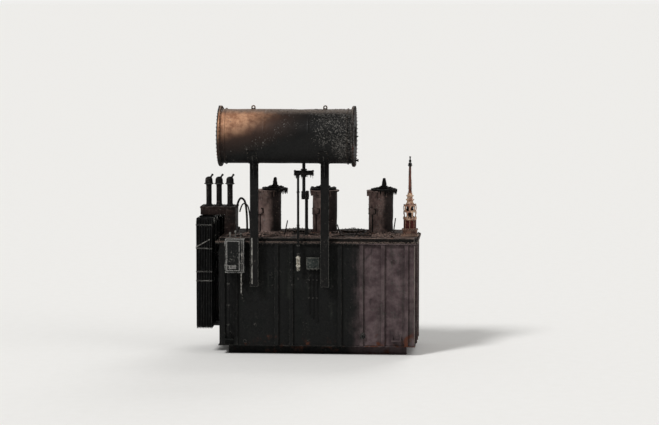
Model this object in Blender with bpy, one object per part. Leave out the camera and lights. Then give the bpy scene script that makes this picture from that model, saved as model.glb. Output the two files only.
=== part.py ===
"""Oil-filled power transformer as a fire left it: a ribbed tank on skids with a bolted cover, an oil
conservator on two columns in front, three high voltage turrets, a neutral bushing, a low voltage
box with three bushings, four radiators on the left end and a hinged control cabinet.

Metres, +Z up. The origin is on the ground under the middle of the tank. X runs along the tank, and
the conservator stands on the -Y side."""

import math

import bmesh
import bpy
from mathutils import Matrix, Vector

# Fits and roundness
SEAT_GAP = 0.0003  # between pieces that touch
WELD = 0.004  # how far welded shapes reach into each other
OVERRUN = 0.02  # how far a cut runs past the wall
SHELL_SIDES = 48
TURNED_SIDES = 24
PIPE_SIDES = 12
HEADER_SIDES = 8
BEND_STEPS = 4

# Skids
SKID_HEIGHT = 0.25
SKID_WIDTH = 0.24
SKID_FLANGE = 0.02
SKID_WEB = 0.014
SKID_SPREAD = 1.90
SKID_LENGTH = 5.00

# Tank
TANK_LENGTH = 5.44
TANK_WIDTH = 2.60
WALL_HEIGHT = 2.87
WALL_PLATE = 0.012
FLOOR_PLATE = 0.025
FLOOR_LIP = 0.03
RIM_WIDTH = 0.09
RIM_THICKNESS = 0.03
RIB_WIDTH = 0.10
RIB_DEPTH = 0.065
FRONT_RIB_SHARES = (-0.96, -0.83, -0.41, -0.26, 0.24, 0.46, 0.68, 0.92)
REAR_RIB_SHARES = (-0.92, -0.61, -0.31, 0.0, 0.31, 0.61, 0.92)
END_RIB_SHARES = (-0.52, 0.0, 0.52)

# Lifting lugs and jacking pads, welded to the long walls
LUG_SHARES = (-0.76, 0.76)
LUG_REACH = 0.085
LUG_DIAMETER = 0.14
LUG_HEIGHT_SHARE = 0.85
PAD_SHARES = (-0.90, 0.82)
PAD_WIDTH = 0.26
PAD_REACH = 0.16
PAD_THICKNESS = 0.03
PAD_LEVEL = 0.42
PAD_GUSSET = 0.02

# Cover
COVER_PLATE = 0.015
COVER_FLANGE = 0.03
COVER_RISE = 0.13
COVER_INSET = 0.01
MANHOLE_PLACES = ((-0.70, 0.55), (0.90, 0.55))
MANHOLE_DIAMETER = 0.62
MANHOLE_RISE = 0.06
MANHOLE_LID_REACH = 0.04
MANHOLE_LID_THICKNESS = 0.02

# Conservator
CONSERVATOR_DIAMETER = 1.50
CONSERVATOR_LENGTH = 3.75
CONSERVATOR_WALL = 0.008
CONSERVATOR_RIGHT_END = 1.09
CONSERVATOR_AXIS_HEIGHT = 6.12
CONSERVATOR_STAND_OFF = 0.20  # from the front wall's face to the axis
END_FLANGE_REACH = 0.09
END_FLANGE_THICKNESS = 0.035
END_COVER_THICKNESS = 0.03
STIFFENER_REACH = 0.025
STIFFENER_THICKNESS = 0.03
STIFFENER_INSET = 0.16
LIFTING_EYE_WIDTH = 0.12
LIFTING_EYE_HEIGHT = 0.11
LIFTING_EYE_HOLE = 0.05
LIFTING_EYE_THICKNESS = 0.03
LIFTING_EYE_SHARES = (0.25, 0.78)

# Oil level gauge on the left end cover
GAUGE_DIAMETER = 0.20
GAUGE_DEPTH = 0.08

# Conservator columns
LEG_PLACES = (-1.71, 0.25)
LEG_WIDTH = 0.22
LEG_DEPTH = 0.20
LEG_FLANGE = 0.014
LEG_WEB = 0.010
LEG_FOOT_HEIGHT = 1.95
CRADLE_WIDTH = 0.27
CRADLE_STRAP = 0.014
CRADLE_WEB = 0.02
CRADLE_STEPS = 8
CRADLE_DROP = 0.42
LEG_BRACKET_THICKNESS = 0.02
LEG_BRACKET_SHARES = (0.03, 0.34)

# Oil pipe from the conservator to the cover
OIL_PIPE_PLACE = -0.33
OIL_PIPE_DIAMETER = 0.09
OIL_PIPE_BEND = 0.11
OIL_STUB_LENGTH = 0.18
VALVE_BLOCK_LENGTH = 0.53
VALVE_BLOCK_WIDTH = 0.15
VALVE_BLOCK_HEIGHT = 0.16
PIPE_FLANGE_REACH = 0.045
PIPE_FLANGE_THICKNESS = 0.02
OIL_RUN_HEIGHT = 4.46
OIL_LANDING = -0.62  # where the pipe lands on the cover, along Y
RELAY_LENGTH = 0.26
RELAY_WIDTH = 0.20
RELAY_HEIGHT = 0.24
RELAY_NECK = 0.05

# Breather
BREATHER_PLACE = -0.49
BREATHER_PIPE_DIAMETER = 0.07
BREATHER_BOTTOM = 2.38
BREATHER_TOP = 2.80
BREATHER_DIAMETER = 0.13
BREATHER_CUP_DIAMETER = 0.09
BREATHER_CUP_SHARE = 0.30
BREATHER_STRUT = 0.03

# High voltage turrets and what is left of their bushings
TURRET_PLACES = (-1.50, 0.10, 1.70)
TURRET_ROW = 0.50
TURRET_DIAMETER = 0.70
TURRET_HEIGHT = 1.20
TURRET_FLANGE_REACH = 0.06
TURRET_FLANGE_THICKNESS = 0.03
HV_DISC_DIAMETER = 0.74
HV_DISC_THICKNESS = 0.05
HV_COLLAR_DIAMETER = 0.42
HV_COLLAR_HEIGHT = 0.09
HV_STUMP_DIAMETER = 0.16
HV_STUMP_HEIGHT = 0.22
HV_SLIPS = ((0.17, 0.02), (-0.05, 0.10), (0.09, -0.08))

# Neutral bushing
NEUTRAL_PLACE = (2.56, -0.40)
NEUTRAL_PLATE_WIDTH = 0.48
NEUTRAL_PLATE_THICKNESS = 0.03
NEUTRAL_RING_DIAMETER = 0.46
NEUTRAL_RING_THICKNESS = 0.03
NEUTRAL_NECK_DIAMETER = 0.40
NEUTRAL_NECK_HEIGHT = 0.10
NEUTRAL_BODY_DIAMETER = 0.36
NEUTRAL_BODY_HEIGHT = 0.70
NEUTRAL_UPPER_DIAMETER = 0.24
NEUTRAL_UPPER_HEIGHT = 0.32
NEUTRAL_STEM_DIAMETER = 0.13
NEUTRAL_STEM_HEIGHT = 0.88
NEUTRAL_TIP_DIAMETER = 0.06
NEUTRAL_TIP_HEIGHT = 0.12

# Low voltage box and bushings
LV_BOX_LENGTH = 1.02
LV_BOX_WIDTH = 0.80
LV_BOX_HEIGHT = 0.22
LV_BOX_LEFT = -3.37
LV_NECK_LENGTH = 0.34
LV_PLACES = (-3.16, -2.87, -2.56)
LV_FLANGE_DIAMETER = 0.24
LV_FLANGE_THICKNESS = 0.025
LV_POST_DIAMETER = 0.16
LV_POST_HEIGHT = 0.62
LV_RING_DIAMETER = 0.27
LV_RING_THICKNESS = 0.02
LV_CAP_DIAMETER = 0.21
LV_CAP_HEIGHT = 0.19
LV_STUD_DIAMETER = 0.05
LV_STUD_LENGTH = 0.20
LV_STUD_LEAN_DEGREES = 35

# Radiators
RADIATOR_COUNT = 4
RADIATOR_PITCH_SHARE = 0.2423  # of the tank's width
RADIATOR_GAP = 0.11
RADIATOR_STAND_OFF = 0.217  # from the wall's face to the nearest panel
RADIATOR_TOP = 3.80
RADIATOR_BOTTOM = 0.70
PANEL_COUNT = 8
PANEL_PITCH = 0.061
PANEL_THICKNESS = 0.016
HEADER_DIAMETER = 0.09
HEADER_INSET = 0.10
HEADER_END = 0.02
STRAP_HEIGHT = 0.03
STRAP_THICKNESS = 0.008
STRAP_SHARES = (0.43, 0.935)
RISER_DIAMETER = 0.08
RISER_BEND = 0.045
RISER_START_HEIGHT = 2.82
RISER_CLEARANCE = 0.008  # past the rim

# Control cabinet
CABINET_WIDTH = 0.52
CABINET_HEIGHT = 0.94
CABINET_DEPTH = 0.28
CABINET_WALL = 0.004
CABINET_LEFT = -2.50
CABINET_TOP = 3.28
CABINET_STAND_OFF = 0.12
CABINET_RAIL_HEIGHT = 0.06
CABINET_RAIL_SHARES = (0.12, 0.70)
DOOR_THICKNESS = 0.022
DOOR_GAP = 0.005
HINGE_RADIUS = 0.011
HINGE_OFFSET = 0.018  # from the door's edge to the hinge axis
HINGE_LEAF = 0.006
KNUCKLE_LENGTH = 0.05
KNUCKLE_GAP = 0.001
HINGE_SHARES = (0.15, 0.80)
HANDLE_SHARES = (0.90, 0.50)
HANDLE_WIDTH = 0.03
HANDLE_HEIGHT = 0.14
HANDLE_DEPTH = 0.03
CONDUIT_DIAMETER = 0.06
CONDUIT_INSET = 0.07
CONDUIT_FOOT_HEIGHT = 0.60
CONDUIT_BEND = 0.09

# Junction box on the front wall
JUNCTION_PLACE = -0.09
JUNCTION_WIDTH = 0.36
JUNCTION_HEIGHT = 0.33
JUNCTION_DEPTH = 0.12
JUNCTION_BOTTOM = 2.42

# Levels and faces that the pieces share
FLOOR_BOTTOM = SKID_HEIGHT + SEAT_GAP
FLOOR_TOP = FLOOR_BOTTOM + FLOOR_PLATE
WALL_BOTTOM = FLOOR_TOP + SEAT_GAP
RIM_TOP = WALL_BOTTOM + WALL_HEIGHT
COVER_BOTTOM = RIM_TOP + SEAT_GAP
COVER_TOP = COVER_BOTTOM + COVER_RISE
FRONT_FACE = -TANK_WIDTH / 2
LEFT_FACE = -TANK_LENGTH / 2
CONSERVATOR_RADIUS = CONSERVATOR_DIAMETER / 2
CONSERVATOR_LEFT_END = CONSERVATOR_RIGHT_END - CONSERVATOR_LENGTH
CONSERVATOR_Y = FRONT_FACE - CONSERVATOR_STAND_OFF
CONSERVATOR_BOTTOM = CONSERVATOR_AXIS_HEIGHT - CONSERVATOR_RADIUS
VALVE_TOP = CONSERVATOR_BOTTOM - SEAT_GAP - OIL_STUB_LENGTH
VALVE_BOTTOM = VALVE_TOP - VALVE_BLOCK_HEIGHT
END_FLANGE_RADIUS = CONSERVATOR_RADIUS + END_FLANGE_REACH
CABINET_BOTTOM = CABINET_TOP - CABINET_HEIGHT
RADIATOR_PITCH = RADIATOR_PITCH_SHARE * TANK_WIDTH
PANEL_WIDTH = RADIATOR_PITCH - RADIATOR_GAP


def clear_scene():
    for found in list(bpy.data.objects):
        bpy.data.objects.remove(found, do_unlink=True)


def material(name, color, roughness, metallic):
    """A plain surface with its colour, roughness and metallic value."""
    made = bpy.data.materials.new(name)
    made.use_nodes = True
    shader = made.node_tree.nodes["Principled BSDF"]
    shader.inputs["Base Color"].default_value = (*color, 1.0)
    shader.inputs["Roughness"].default_value = roughness
    shader.inputs["Metallic"].default_value = metallic
    return made


def sooted_paint():
    return material("sooted_paint", (0.012, 0.015, 0.013), 0.75, 0.0)


def burnt_steel():
    return material("burnt_steel", (0.20, 0.11, 0.07), 0.80, 0.2)


def scorched_grey():
    return material("scorched_grey", (0.075, 0.055, 0.058), 0.75, 0.0)


def ashen_steel():
    return material("ashen_steel", (0.14, 0.10, 0.09), 0.85, 0.1)


def burnt_porcelain():
    return material("burnt_porcelain", (0.42, 0.30, 0.20), 0.55, 0.0)


def pale_housing():
    return material("pale_housing", (0.60, 0.57, 0.50), 0.50, 0.0)


def add_object(name, mesh, finish=None, rounded=False):
    """Puts a mesh in the scene under its piece's name."""
    mesh.name = name
    if finish:
        mesh.materials.append(finish)
    if rounded:
        mesh.shade_smooth()
        mesh.set_sharp_from_angle(angle=math.radians(35))
    placed = bpy.data.objects.new(name, mesh)
    bpy.context.scene.collection.objects.link(placed)
    return placed


def mesh_from(work):
    """A mesh of the bmesh's shape with its faces turned out."""
    bmesh.ops.recalc_face_normals(work, faces=work.faces)
    mesh = bpy.data.meshes.new("shape")
    work.to_mesh(mesh)
    work.free()
    return mesh


def box_mesh(*spans):
    """Closed boxes from pairs of lowest and highest corners."""
    work = bmesh.new()
    for low, high in spans:
        size = Vector(high) - Vector(low)
        middle = (Vector(high) + Vector(low)) / 2
        place = Matrix.Translation(middle) @ Matrix.Diagonal((*size, 1.0))
        bmesh.ops.create_cube(work, size=1.0, matrix=place)
    return mesh_from(work)


def quarter_turns(count):
    """A number of quarter turns about Z, exact, so that faces in one plane stay in it."""
    x, y = ((1, 0), (0, 1), (-1, 0), (0, -1))[count % 4]
    return Matrix(((x, -y, 0, 0), (y, x, 0, 0), (0, 0, 1, 0), (0, 0, 0, 1)))


def prism_mesh(outline, start, end, turn=Matrix.Identity(4)):
    """An outline in the XY plane carried from start to end along Z, then turned into place."""
    work = bmesh.new()
    bottom = [work.verts.new((x, y, start)) for x, y in outline]
    face = work.faces.new(bottom)
    grown = bmesh.ops.extrude_face_region(work, geom=[face])
    top = [item for item in grown["geom"] if isinstance(item, bmesh.types.BMVert)]
    bmesh.ops.translate(work, verts=top, vec=(0, 0, end - start))
    bmesh.ops.transform(work, matrix=turn, verts=work.verts)
    return mesh_from(work)


# Takes a shape's X, Y and Z to the model's Y, Z and X.
ALONG_X = Matrix(((0, 0, 1, 0), (1, 0, 0, 0), (0, 1, 0, 0), (0, 0, 0, 1)))


def turned_mesh(profile, sides, place=Matrix.Identity(4), closed=False):
    """A profile of (radius, height) points turned round the local Z axis. The first point of each ring
    lies towards -Y. A closed profile makes a ring with a hole, and an open one ends on the axis."""
    work = bmesh.new()
    rings = []
    for radius, height in profile:
        if radius == 0:
            rings.append([work.verts.new((0, 0, height))] * sides)
            continue
        ring = []
        for step in range(sides):
            angle = 2 * math.pi * step / sides
            ring.append(work.verts.new((radius * math.sin(angle), -radius * math.cos(angle), height)))
        rings.append(ring)
    pairs = list(zip(rings, rings[1:]))
    if closed:
        pairs.append((rings[-1], rings[0]))
    for lower, upper in pairs:
        for step in range(sides):
            after = (step + 1) % sides
            corners = [lower[step], lower[after], upper[after], upper[step]]
            work.faces.new(list(dict.fromkeys(corners)))
    bmesh.ops.transform(work, matrix=place, verts=work.verts)
    return mesh_from(work)


def disc_profile(*steps):
    """The profile of stacked discs, from (radius, thickness) steps read upwards, closed on the axis."""
    points = [(0, 0)]
    height = 0
    for radius, thickness in steps:
        points.append((radius, height))
        height += thickness
        points.append((radius, height))
    points.append((0, height))
    return points


def bent_route(corners, bend):
    """The points of a pipe's middle line, with an arc of radius bend at each inner corner."""
    points = [Vector(corners[0])]
    for before, corner, after in zip(corners, corners[1:], corners[2:]):
        corner = Vector(corner)
        back = (Vector(before) - corner).normalized()
        ahead = (Vector(after) - corner).normalized()
        half_turn = (math.pi - back.angle(ahead)) / 2
        reach = bend * math.tan(half_turn)
        centre = corner + (back + ahead).normalized() * (bend / math.cos(half_turn))
        start = corner + back * reach - centre
        end = corner + ahead * reach - centre
        axis = start.cross(end).normalized()
        for step in range(BEND_STEPS + 1):
            turn = Matrix.Rotation(start.angle(end) * step / BEND_STEPS, 3, axis)
            points.append(centre + turn @ start)
    points.append(Vector(corners[-1]))
    return points


def pipe_mesh(points, diameter, sides=PIPE_SIDES):
    """A closed round bar along the points."""
    work = bmesh.new()
    rings = []
    ahead = (points[1] - points[0]).normalized()
    side = ahead.orthogonal().normalized()
    for number, point in enumerate(points):
        before = points[max(number - 1, 0)]
        after = points[min(number + 1, len(points) - 1)]
        heading = (after - before).normalized()
        side = (side - heading * side.dot(heading)).normalized()
        up = heading.cross(side)
        ring = []
        for step in range(sides):
            angle = 2 * math.pi * step / sides
            spoke = side * math.cos(angle) + up * math.sin(angle)
            ring.append(work.verts.new(point + spoke * (diameter / 2)))
        rings.append(ring)
    for lower, upper in zip(rings, rings[1:]):
        for step in range(sides):
            after = (step + 1) % sides
            work.faces.new((lower[step], lower[after], upper[after], upper[step]))
    work.faces.new(rings[0][::-1])
    work.faces.new(rings[-1])
    return mesh_from(work)


def helper(mesh, name):
    """A shape that only cuts or joins another, hidden from a render."""
    shape = add_object(name, mesh)
    shape.hide_render = True
    shape.display_type = "WIRE"
    return shape


def combine(target, mesh, operation):
    """Joins a shape to the target, or cuts it away, by a live Boolean."""
    name = f"{target.name}_{operation.lower()}_{len(target.modifiers)}"
    change = target.modifiers.new(name, "BOOLEAN")
    change.operation = operation
    change.solver = "EXACT"
    change.object = helper(mesh, name)


def weld(target, *meshes):
    for mesh in meshes:
        combine(target, mesh, "UNION")


def cut(target, *meshes):
    for mesh in meshes:
        combine(target, mesh, "DIFFERENCE")


def beam_outline(width, depth, flange, web):
    """An I-section about the origin, its flanges facing +Y and -Y."""
    quarter = [
        (web / 2, depth / 2 - flange),
        (width / 2, depth / 2 - flange),
        (width / 2, depth / 2),
    ]
    right = [(x, -y) for x, y in reversed(quarter)] + quarter
    return right + [(-x, -y) for x, y in right]


def make_skids(finish):
    """Two long beams, and a short one between them under the middle of the tank."""
    outline = beam_outline(SKID_WIDTH, SKID_HEIGHT, SKID_FLANGE, SKID_WEB)
    for name, side in (("skid_beam_front", -1), ("skid_beam_rear", 1)):
        place = Matrix.Translation((0, side * SKID_SPREAD / 2, SKID_HEIGHT / 2))
        mesh = prism_mesh(outline, -SKID_LENGTH / 2, SKID_LENGTH / 2, place @ ALONG_X)
        add_object(name, mesh, finish)
    reach = SKID_SPREAD / 2 - SKID_WIDTH / 2 - SEAT_GAP
    place = Matrix.Translation((0, 0, SKID_HEIGHT / 2)) @ quarter_turns(1)
    add_object("skid_cross_beam", prism_mesh(outline, -reach, reach, place @ ALONG_X), finish)


def make_floor(finish):
    reach_x = TANK_LENGTH / 2 + FLOOR_LIP
    reach_y = TANK_WIDTH / 2 + FLOOR_LIP
    span = ((-reach_x, -reach_y, FLOOR_BOTTOM), (reach_x, reach_y, FLOOR_TOP))
    add_object("tank_floor", box_mesh(span), finish)


def wall_outline(length, rib_shares):
    """A wall plate seen from above with its ribs, its outer face at zero and outwards towards -Y."""
    points = [(-length / 2, WALL_PLATE), (-length / 2, 0)]
    for share in rib_shares:
        middle = share * length / 2
        points += [
            (middle - RIB_WIDTH / 2, 0),
            (middle - RIB_WIDTH / 2, -RIB_DEPTH),
            (middle + RIB_WIDTH / 2, -RIB_DEPTH),
            (middle + RIB_WIDTH / 2, 0),
        ]
    return points + [(length / 2, 0), (length / 2, WALL_PLATE)]


def make_wall(name, length, rim_length, turn, rib_shares, finish):
    """One side of the tank: a plate with upright ribs, and its stretch of the bolted rim on top."""
    top = RIM_TOP - WELD
    wall = add_object(name, prism_mesh(wall_outline(length, rib_shares), WALL_BOTTOM, top, turn), finish)
    rim = [
        (-rim_length / 2, WALL_PLATE / 2),
        (-rim_length / 2, -RIM_WIDTH),
        (rim_length / 2, -RIM_WIDTH),
        (rim_length / 2, WALL_PLATE / 2),
    ]
    weld(wall, prism_mesh(rim, RIM_TOP - RIM_THICKNESS, RIM_TOP, turn))
    return wall


def lug_and_pad_meshes(length, turn):
    """Round lifting lugs near the top of a long wall, and jacking pads with gussets near its foot."""
    meshes = []
    for share in LUG_SHARES:
        middle = share * length / 2
        level = WALL_BOTTOM + LUG_HEIGHT_SHARE * WALL_HEIGHT
        place = Matrix.Translation((middle, WELD, level)) @ Matrix.Rotation(math.pi / 2, 4, "X")
        profile = disc_profile(
            (LUG_DIAMETER / 2 - WALL_PLATE, LUG_REACH + WELD),
            (LUG_DIAMETER / 2, WALL_PLATE),
        )
        meshes.append(turned_mesh(profile, PIPE_SIDES, turn @ place))
    for share in PAD_SHARES:
        middle = share * length / 2
        outline = [
            (middle - PAD_WIDTH / 2, WALL_PLATE / 2),
            (middle - PAD_WIDTH / 2, -PAD_REACH),
            (middle + PAD_WIDTH / 2, -PAD_REACH),
            (middle + PAD_WIDTH / 2, WALL_PLATE / 2),
        ]
        meshes.append(prism_mesh(outline, PAD_LEVEL, PAD_LEVEL + PAD_THICKNESS, turn))
        side = PAD_WIDTH / 2 - PAD_GUSSET - WELD
        for left in (middle - side - PAD_GUSSET, middle + side):
            root = PAD_LEVEL + PAD_THICKNESS / 2
            gusset = [(WALL_PLATE / 2, root), (-PAD_REACH + WELD, root), (WALL_PLATE / 2, root + PAD_REACH)]
            meshes.append(prism_mesh(gusset, left, left + PAD_GUSSET, turn @ ALONG_X))
    return meshes


def make_walls(sooted, scorched):
    long_rim = TANK_LENGTH + 2 * RIM_WIDTH
    end_length = TANK_WIDTH - 2 * WALL_PLATE - 2 * SEAT_GAP
    end_rim = end_length - 2 * WELD
    to_face = Matrix.Translation((0, -TANK_WIDTH / 2, 0))
    to_end = Matrix.Translation((0, -TANK_LENGTH / 2, 0))
    for name, count, rib_shares in (
        ("tank_front_wall", 0, FRONT_RIB_SHARES),
        ("tank_rear_wall", 2, REAR_RIB_SHARES),
    ):
        turn = quarter_turns(count) @ to_face
        wall = make_wall(name, TANK_LENGTH, long_rim, turn, rib_shares, sooted)
        weld(wall, *lug_and_pad_meshes(TANK_LENGTH, turn))
    for name, count, finish in (("tank_right_wall", 1, scorched), ("tank_left_wall", 3, sooted)):
        make_wall(name, end_length, end_rim, quarter_turns(count) @ to_end, END_RIB_SHARES, finish)


def make_cover(finish):
    """A shallow pan, open below, on a bolted flange."""
    flange_x = TANK_LENGTH / 2 + RIM_WIDTH
    flange_y = TANK_WIDTH / 2 + RIM_WIDTH
    pan_x = TANK_LENGTH / 2 - COVER_INSET
    pan_y = TANK_WIDTH / 2 - COVER_INSET
    flange_top = COVER_BOTTOM + COVER_FLANGE
    flange = ((-flange_x, -flange_y, COVER_BOTTOM), (flange_x, flange_y, flange_top))
    pan = ((-pan_x, -pan_y, COVER_BOTTOM + COVER_FLANGE / 2), (pan_x, pan_y, COVER_TOP))
    hollow_x = pan_x - COVER_PLATE
    hollow_y = pan_y - COVER_PLATE
    ceiling = COVER_TOP - COVER_PLATE
    hollow = ((-hollow_x, -hollow_y, COVER_BOTTOM - OVERRUN), (hollow_x, hollow_y, ceiling))
    cover = add_object("tank_cover", box_mesh(flange), finish)
    weld(cover, box_mesh(pan))
    cut(cover, box_mesh(hollow))
    collar = disc_profile(
        (MANHOLE_DIAMETER / 2, MANHOLE_RISE + WELD - MANHOLE_LID_THICKNESS),
        (MANHOLE_DIAMETER / 2 + MANHOLE_LID_REACH, MANHOLE_LID_THICKNESS),
    )
    for x, y in MANHOLE_PLACES:
        place = Matrix.Translation((x, y, COVER_TOP - WELD))
        weld(cover, turned_mesh(collar, TURNED_SIDES, place))


def conservator_place(along):
    """The frame at a place on the conservator's axis, its Z along +X and its -Y down."""
    return Matrix.Translation((along, CONSERVATOR_Y, CONSERVATOR_AXIS_HEIGHT)) @ ALONG_X


def stiffener_steps(middle):
    """The outer profile's points over one stiffening ring round the shell."""
    outer = CONSERVATOR_RADIUS + STIFFENER_REACH
    start, end = middle - STIFFENER_THICKNESS / 2, middle + STIFFENER_THICKNESS / 2
    return [(CONSERVATOR_RADIUS, start), (outer, start), (outer, end), (CONSERVATOR_RADIUS, end)]


def make_conservator_shell(finish):
    """An open tube with a flange at each end, two stiffening rings and two lifting eyes on top."""
    length = CONSERVATOR_LENGTH - 2 * (END_COVER_THICKNESS + SEAT_GAP)
    inner = CONSERVATOR_RADIUS - CONSERVATOR_WALL
    profile = [
        (inner, 0),
        (END_FLANGE_RADIUS, 0),
        (END_FLANGE_RADIUS, END_FLANGE_THICKNESS),
        (CONSERVATOR_RADIUS, END_FLANGE_THICKNESS),
        *stiffener_steps(STIFFENER_INSET),
        *stiffener_steps(length - STIFFENER_INSET),
        (CONSERVATOR_RADIUS, length - END_FLANGE_THICKNESS),
        (END_FLANGE_RADIUS, length - END_FLANGE_THICKNESS),
        (END_FLANGE_RADIUS, length),
        (inner, length),
    ]
    start = CONSERVATOR_LEFT_END + END_COVER_THICKNESS + SEAT_GAP
    mesh = turned_mesh(profile, SHELL_SIDES, conservator_place(start), closed=True)
    shell = add_object("conservator_shell", mesh, finish, rounded=True)
    for share in LIFTING_EYE_SHARES:
        weld(shell, lifting_eye(CONSERVATOR_LEFT_END + share * CONSERVATOR_LENGTH))


def lifting_eye(place):
    """A round-headed plate with a hole, standing along X on top of the shell."""
    root = CONSERVATOR_AXIS_HEIGHT + CONSERVATOR_RADIUS - WELD
    centre = root + LIFTING_EYE_HEIGHT - LIFTING_EYE_WIDTH / 2
    outer, inner = [], []
    for step in range(PIPE_SIDES + 1):
        angle = math.pi * step / PIPE_SIDES
        outer.append((LIFTING_EYE_WIDTH / 2 * math.cos(angle), LIFTING_EYE_WIDTH / 2 * math.sin(angle)))
    for step in range(2 * PIPE_SIDES):
        angle = math.pi * step / PIPE_SIDES
        inner.append((LIFTING_EYE_HOLE / 2 * math.cos(angle), LIFTING_EYE_HOLE / 2 * math.sin(angle)))
    foot = root - centre
    outline = [(LIFTING_EYE_WIDTH / 2, foot), *outer, (-LIFTING_EYE_WIDTH / 2, foot)]
    work = bmesh.new()
    half = LIFTING_EYE_THICKNESS / 2
    origin = Vector((place, CONSERVATOR_Y, centre))
    front_outer = [work.verts.new(origin + Vector((x, -half, z))) for x, z in outline]
    front_inner = [work.verts.new(origin + Vector((x, -half, z))) for x, z in inner]
    rims = []
    for ring in (front_outer, front_inner):
        rims += [work.edges.new((a, b)) for a, b in zip(ring, ring[1:] + ring[:1])]
    filled = bmesh.ops.triangle_fill(work, edges=rims, use_beauty=True)
    faces = [item for item in filled["geom"] if isinstance(item, bmesh.types.BMFace)]
    grown = bmesh.ops.extrude_face_region(work, geom=faces)
    back = [item for item in grown["geom"] if isinstance(item, bmesh.types.BMVert)]
    bmesh.ops.translate(work, verts=back, vec=(0, LIFTING_EYE_THICKNESS, 0))
    return mesh_from(work)


def make_end_covers(finish):
    """A flat blind cover bolted on each end of the shell."""
    profile = disc_profile((END_FLANGE_RADIUS, END_COVER_THICKNESS))
    left = conservator_place(CONSERVATOR_LEFT_END)
    right = conservator_place(CONSERVATOR_RIGHT_END - END_COVER_THICKNESS)
    add_object("conservator_cover_left", turned_mesh(profile, SHELL_SIDES, left), finish, True)
    add_object("conservator_cover_right", turned_mesh(profile, SHELL_SIDES, right), finish, True)


def make_level_gauge(finish):
    """The oil level gauge's housing at the middle of the left end cover."""
    profile = disc_profile((GAUGE_DIAMETER / 2, GAUGE_DEPTH))
    place = conservator_place(CONSERVATOR_LEFT_END - SEAT_GAP - GAUGE_DEPTH)
    add_object("oil_level_gauge", turned_mesh(profile, TURNED_SIDES, place), finish, True)


def arc_points(radius, steps):
    """Points (y, z) from the shell's axis to the corners of its own facets, from front to back below."""
    points = []
    for step in range(-steps, steps + 1):
        angle = 2 * math.pi * step / SHELL_SIDES
        points.append((radius * math.sin(angle), -radius * math.cos(angle)))
    return points


def make_leg(name, place, finish):
    """A column on the front wall with the cradle that the conservator lies in."""
    face = FRONT_FACE - SEAT_GAP
    bare = CONSERVATOR_RADIUS + SEAT_GAP
    cradle_bottom = CONSERVATOR_AXIS_HEIGHT - bare - CRADLE_DROP
    column = beam_outline(LEG_WIDTH, LEG_DEPTH, LEG_FLANGE, LEG_WEB)
    leg = add_object(
        name,
        prism_mesh(
            column,
            LEG_FOOT_HEIGHT,
            CONSERVATOR_AXIS_HEIGHT - bare - CRADLE_STRAP / 2,
            Matrix.Translation((place, CONSERVATOR_Y, 0)),
        ),
        finish,
    )
    centre = Matrix.Translation((place, CONSERVATOR_Y, CONSERVATOR_AXIS_HEIGHT)) @ ALONG_X
    inner = arc_points(bare, CRADLE_STEPS)
    outer = arc_points(bare + CRADLE_STRAP, CRADLE_STEPS)
    strap = inner + outer[::-1]
    weld(leg, prism_mesh(strap, -CRADLE_WIDTH / 2, CRADLE_WIDTH / 2, centre))
    low = cradle_bottom - CONSERVATOR_AXIS_HEIGHT
    middle = arc_points(bare + CRADLE_STRAP / 2, CRADLE_STEPS - 1)
    web = middle + [(LEG_DEPTH / 2, low), (-LEG_DEPTH / 2, low)]
    weld(leg, prism_mesh(web, -CRADLE_WEB / 2, CRADLE_WEB / 2, centre))
    height = cradle_bottom - LEG_FOOT_HEIGHT
    for share in LEG_BRACKET_SHARES:
        level = LEG_FOOT_HEIGHT + share * height
        near = CONSERVATOR_Y + LEG_DEPTH / 2 - LEG_FLANGE
        low_corner = (place - LEG_WIDTH / 2, near, level)
        high_corner = (place + LEG_WIDTH / 2, face, level + LEG_BRACKET_THICKNESS)
        weld(leg, box_mesh((low_corner, high_corner)))


def flange_mesh(place, radius):
    """One pipe flange, its outer face at the place and its thickness along the place's Z."""
    return turned_mesh(disc_profile((radius, PIPE_FLANGE_THICKNESS)), TURNED_SIDES, place)


def flanged_pipe(name, corners, finish):
    """The oil pipe along the corners, with a flange on each end."""
    ends = []
    inner = [Vector(corner) for corner in corners]
    for end, beside in ((0, 1), (-1, -2)):
        inwards = (inner[beside] - inner[end]).normalized()
        turn = Vector((0, 0, 1)).rotation_difference(inwards).to_matrix().to_4x4()
        ends.append(Matrix.Translation(corners[end]) @ turn)
        inner[end] = inner[end] + inwards * (PIPE_FLANGE_THICKNESS / 2)
    route = bent_route(inner, OIL_PIPE_BEND)
    pipe = add_object(name, pipe_mesh(route, OIL_PIPE_DIAMETER), finish, True)
    for place in ends:
        weld(pipe, flange_mesh(place, OIL_PIPE_DIAMETER / 2 + PIPE_FLANGE_REACH))


def make_valve(finish):
    """The block under the shell that the oil pipe and the breather's pipe hang from, with its stub."""
    half_x = VALVE_BLOCK_LENGTH / 2
    half_y = VALVE_BLOCK_WIDTH / 2
    low = (OIL_PIPE_PLACE - half_x, CONSERVATOR_Y - half_y, VALVE_BOTTOM)
    high = (OIL_PIPE_PLACE + half_x, CONSERVATOR_Y + half_y, VALVE_TOP)
    block = add_object("conservator_valve", box_mesh((low, high)), finish)
    radius = OIL_PIPE_DIAMETER / 2
    profile = disc_profile(
        (radius + PIPE_FLANGE_REACH, PIPE_FLANGE_THICKNESS + WELD),
        (radius, OIL_STUB_LENGTH - PIPE_FLANGE_THICKNESS),
    )
    place = Matrix.Translation((OIL_PIPE_PLACE, CONSERVATOR_Y, VALVE_TOP - WELD))
    weld(block, turned_mesh(profile, TURNED_SIDES, place))


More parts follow.
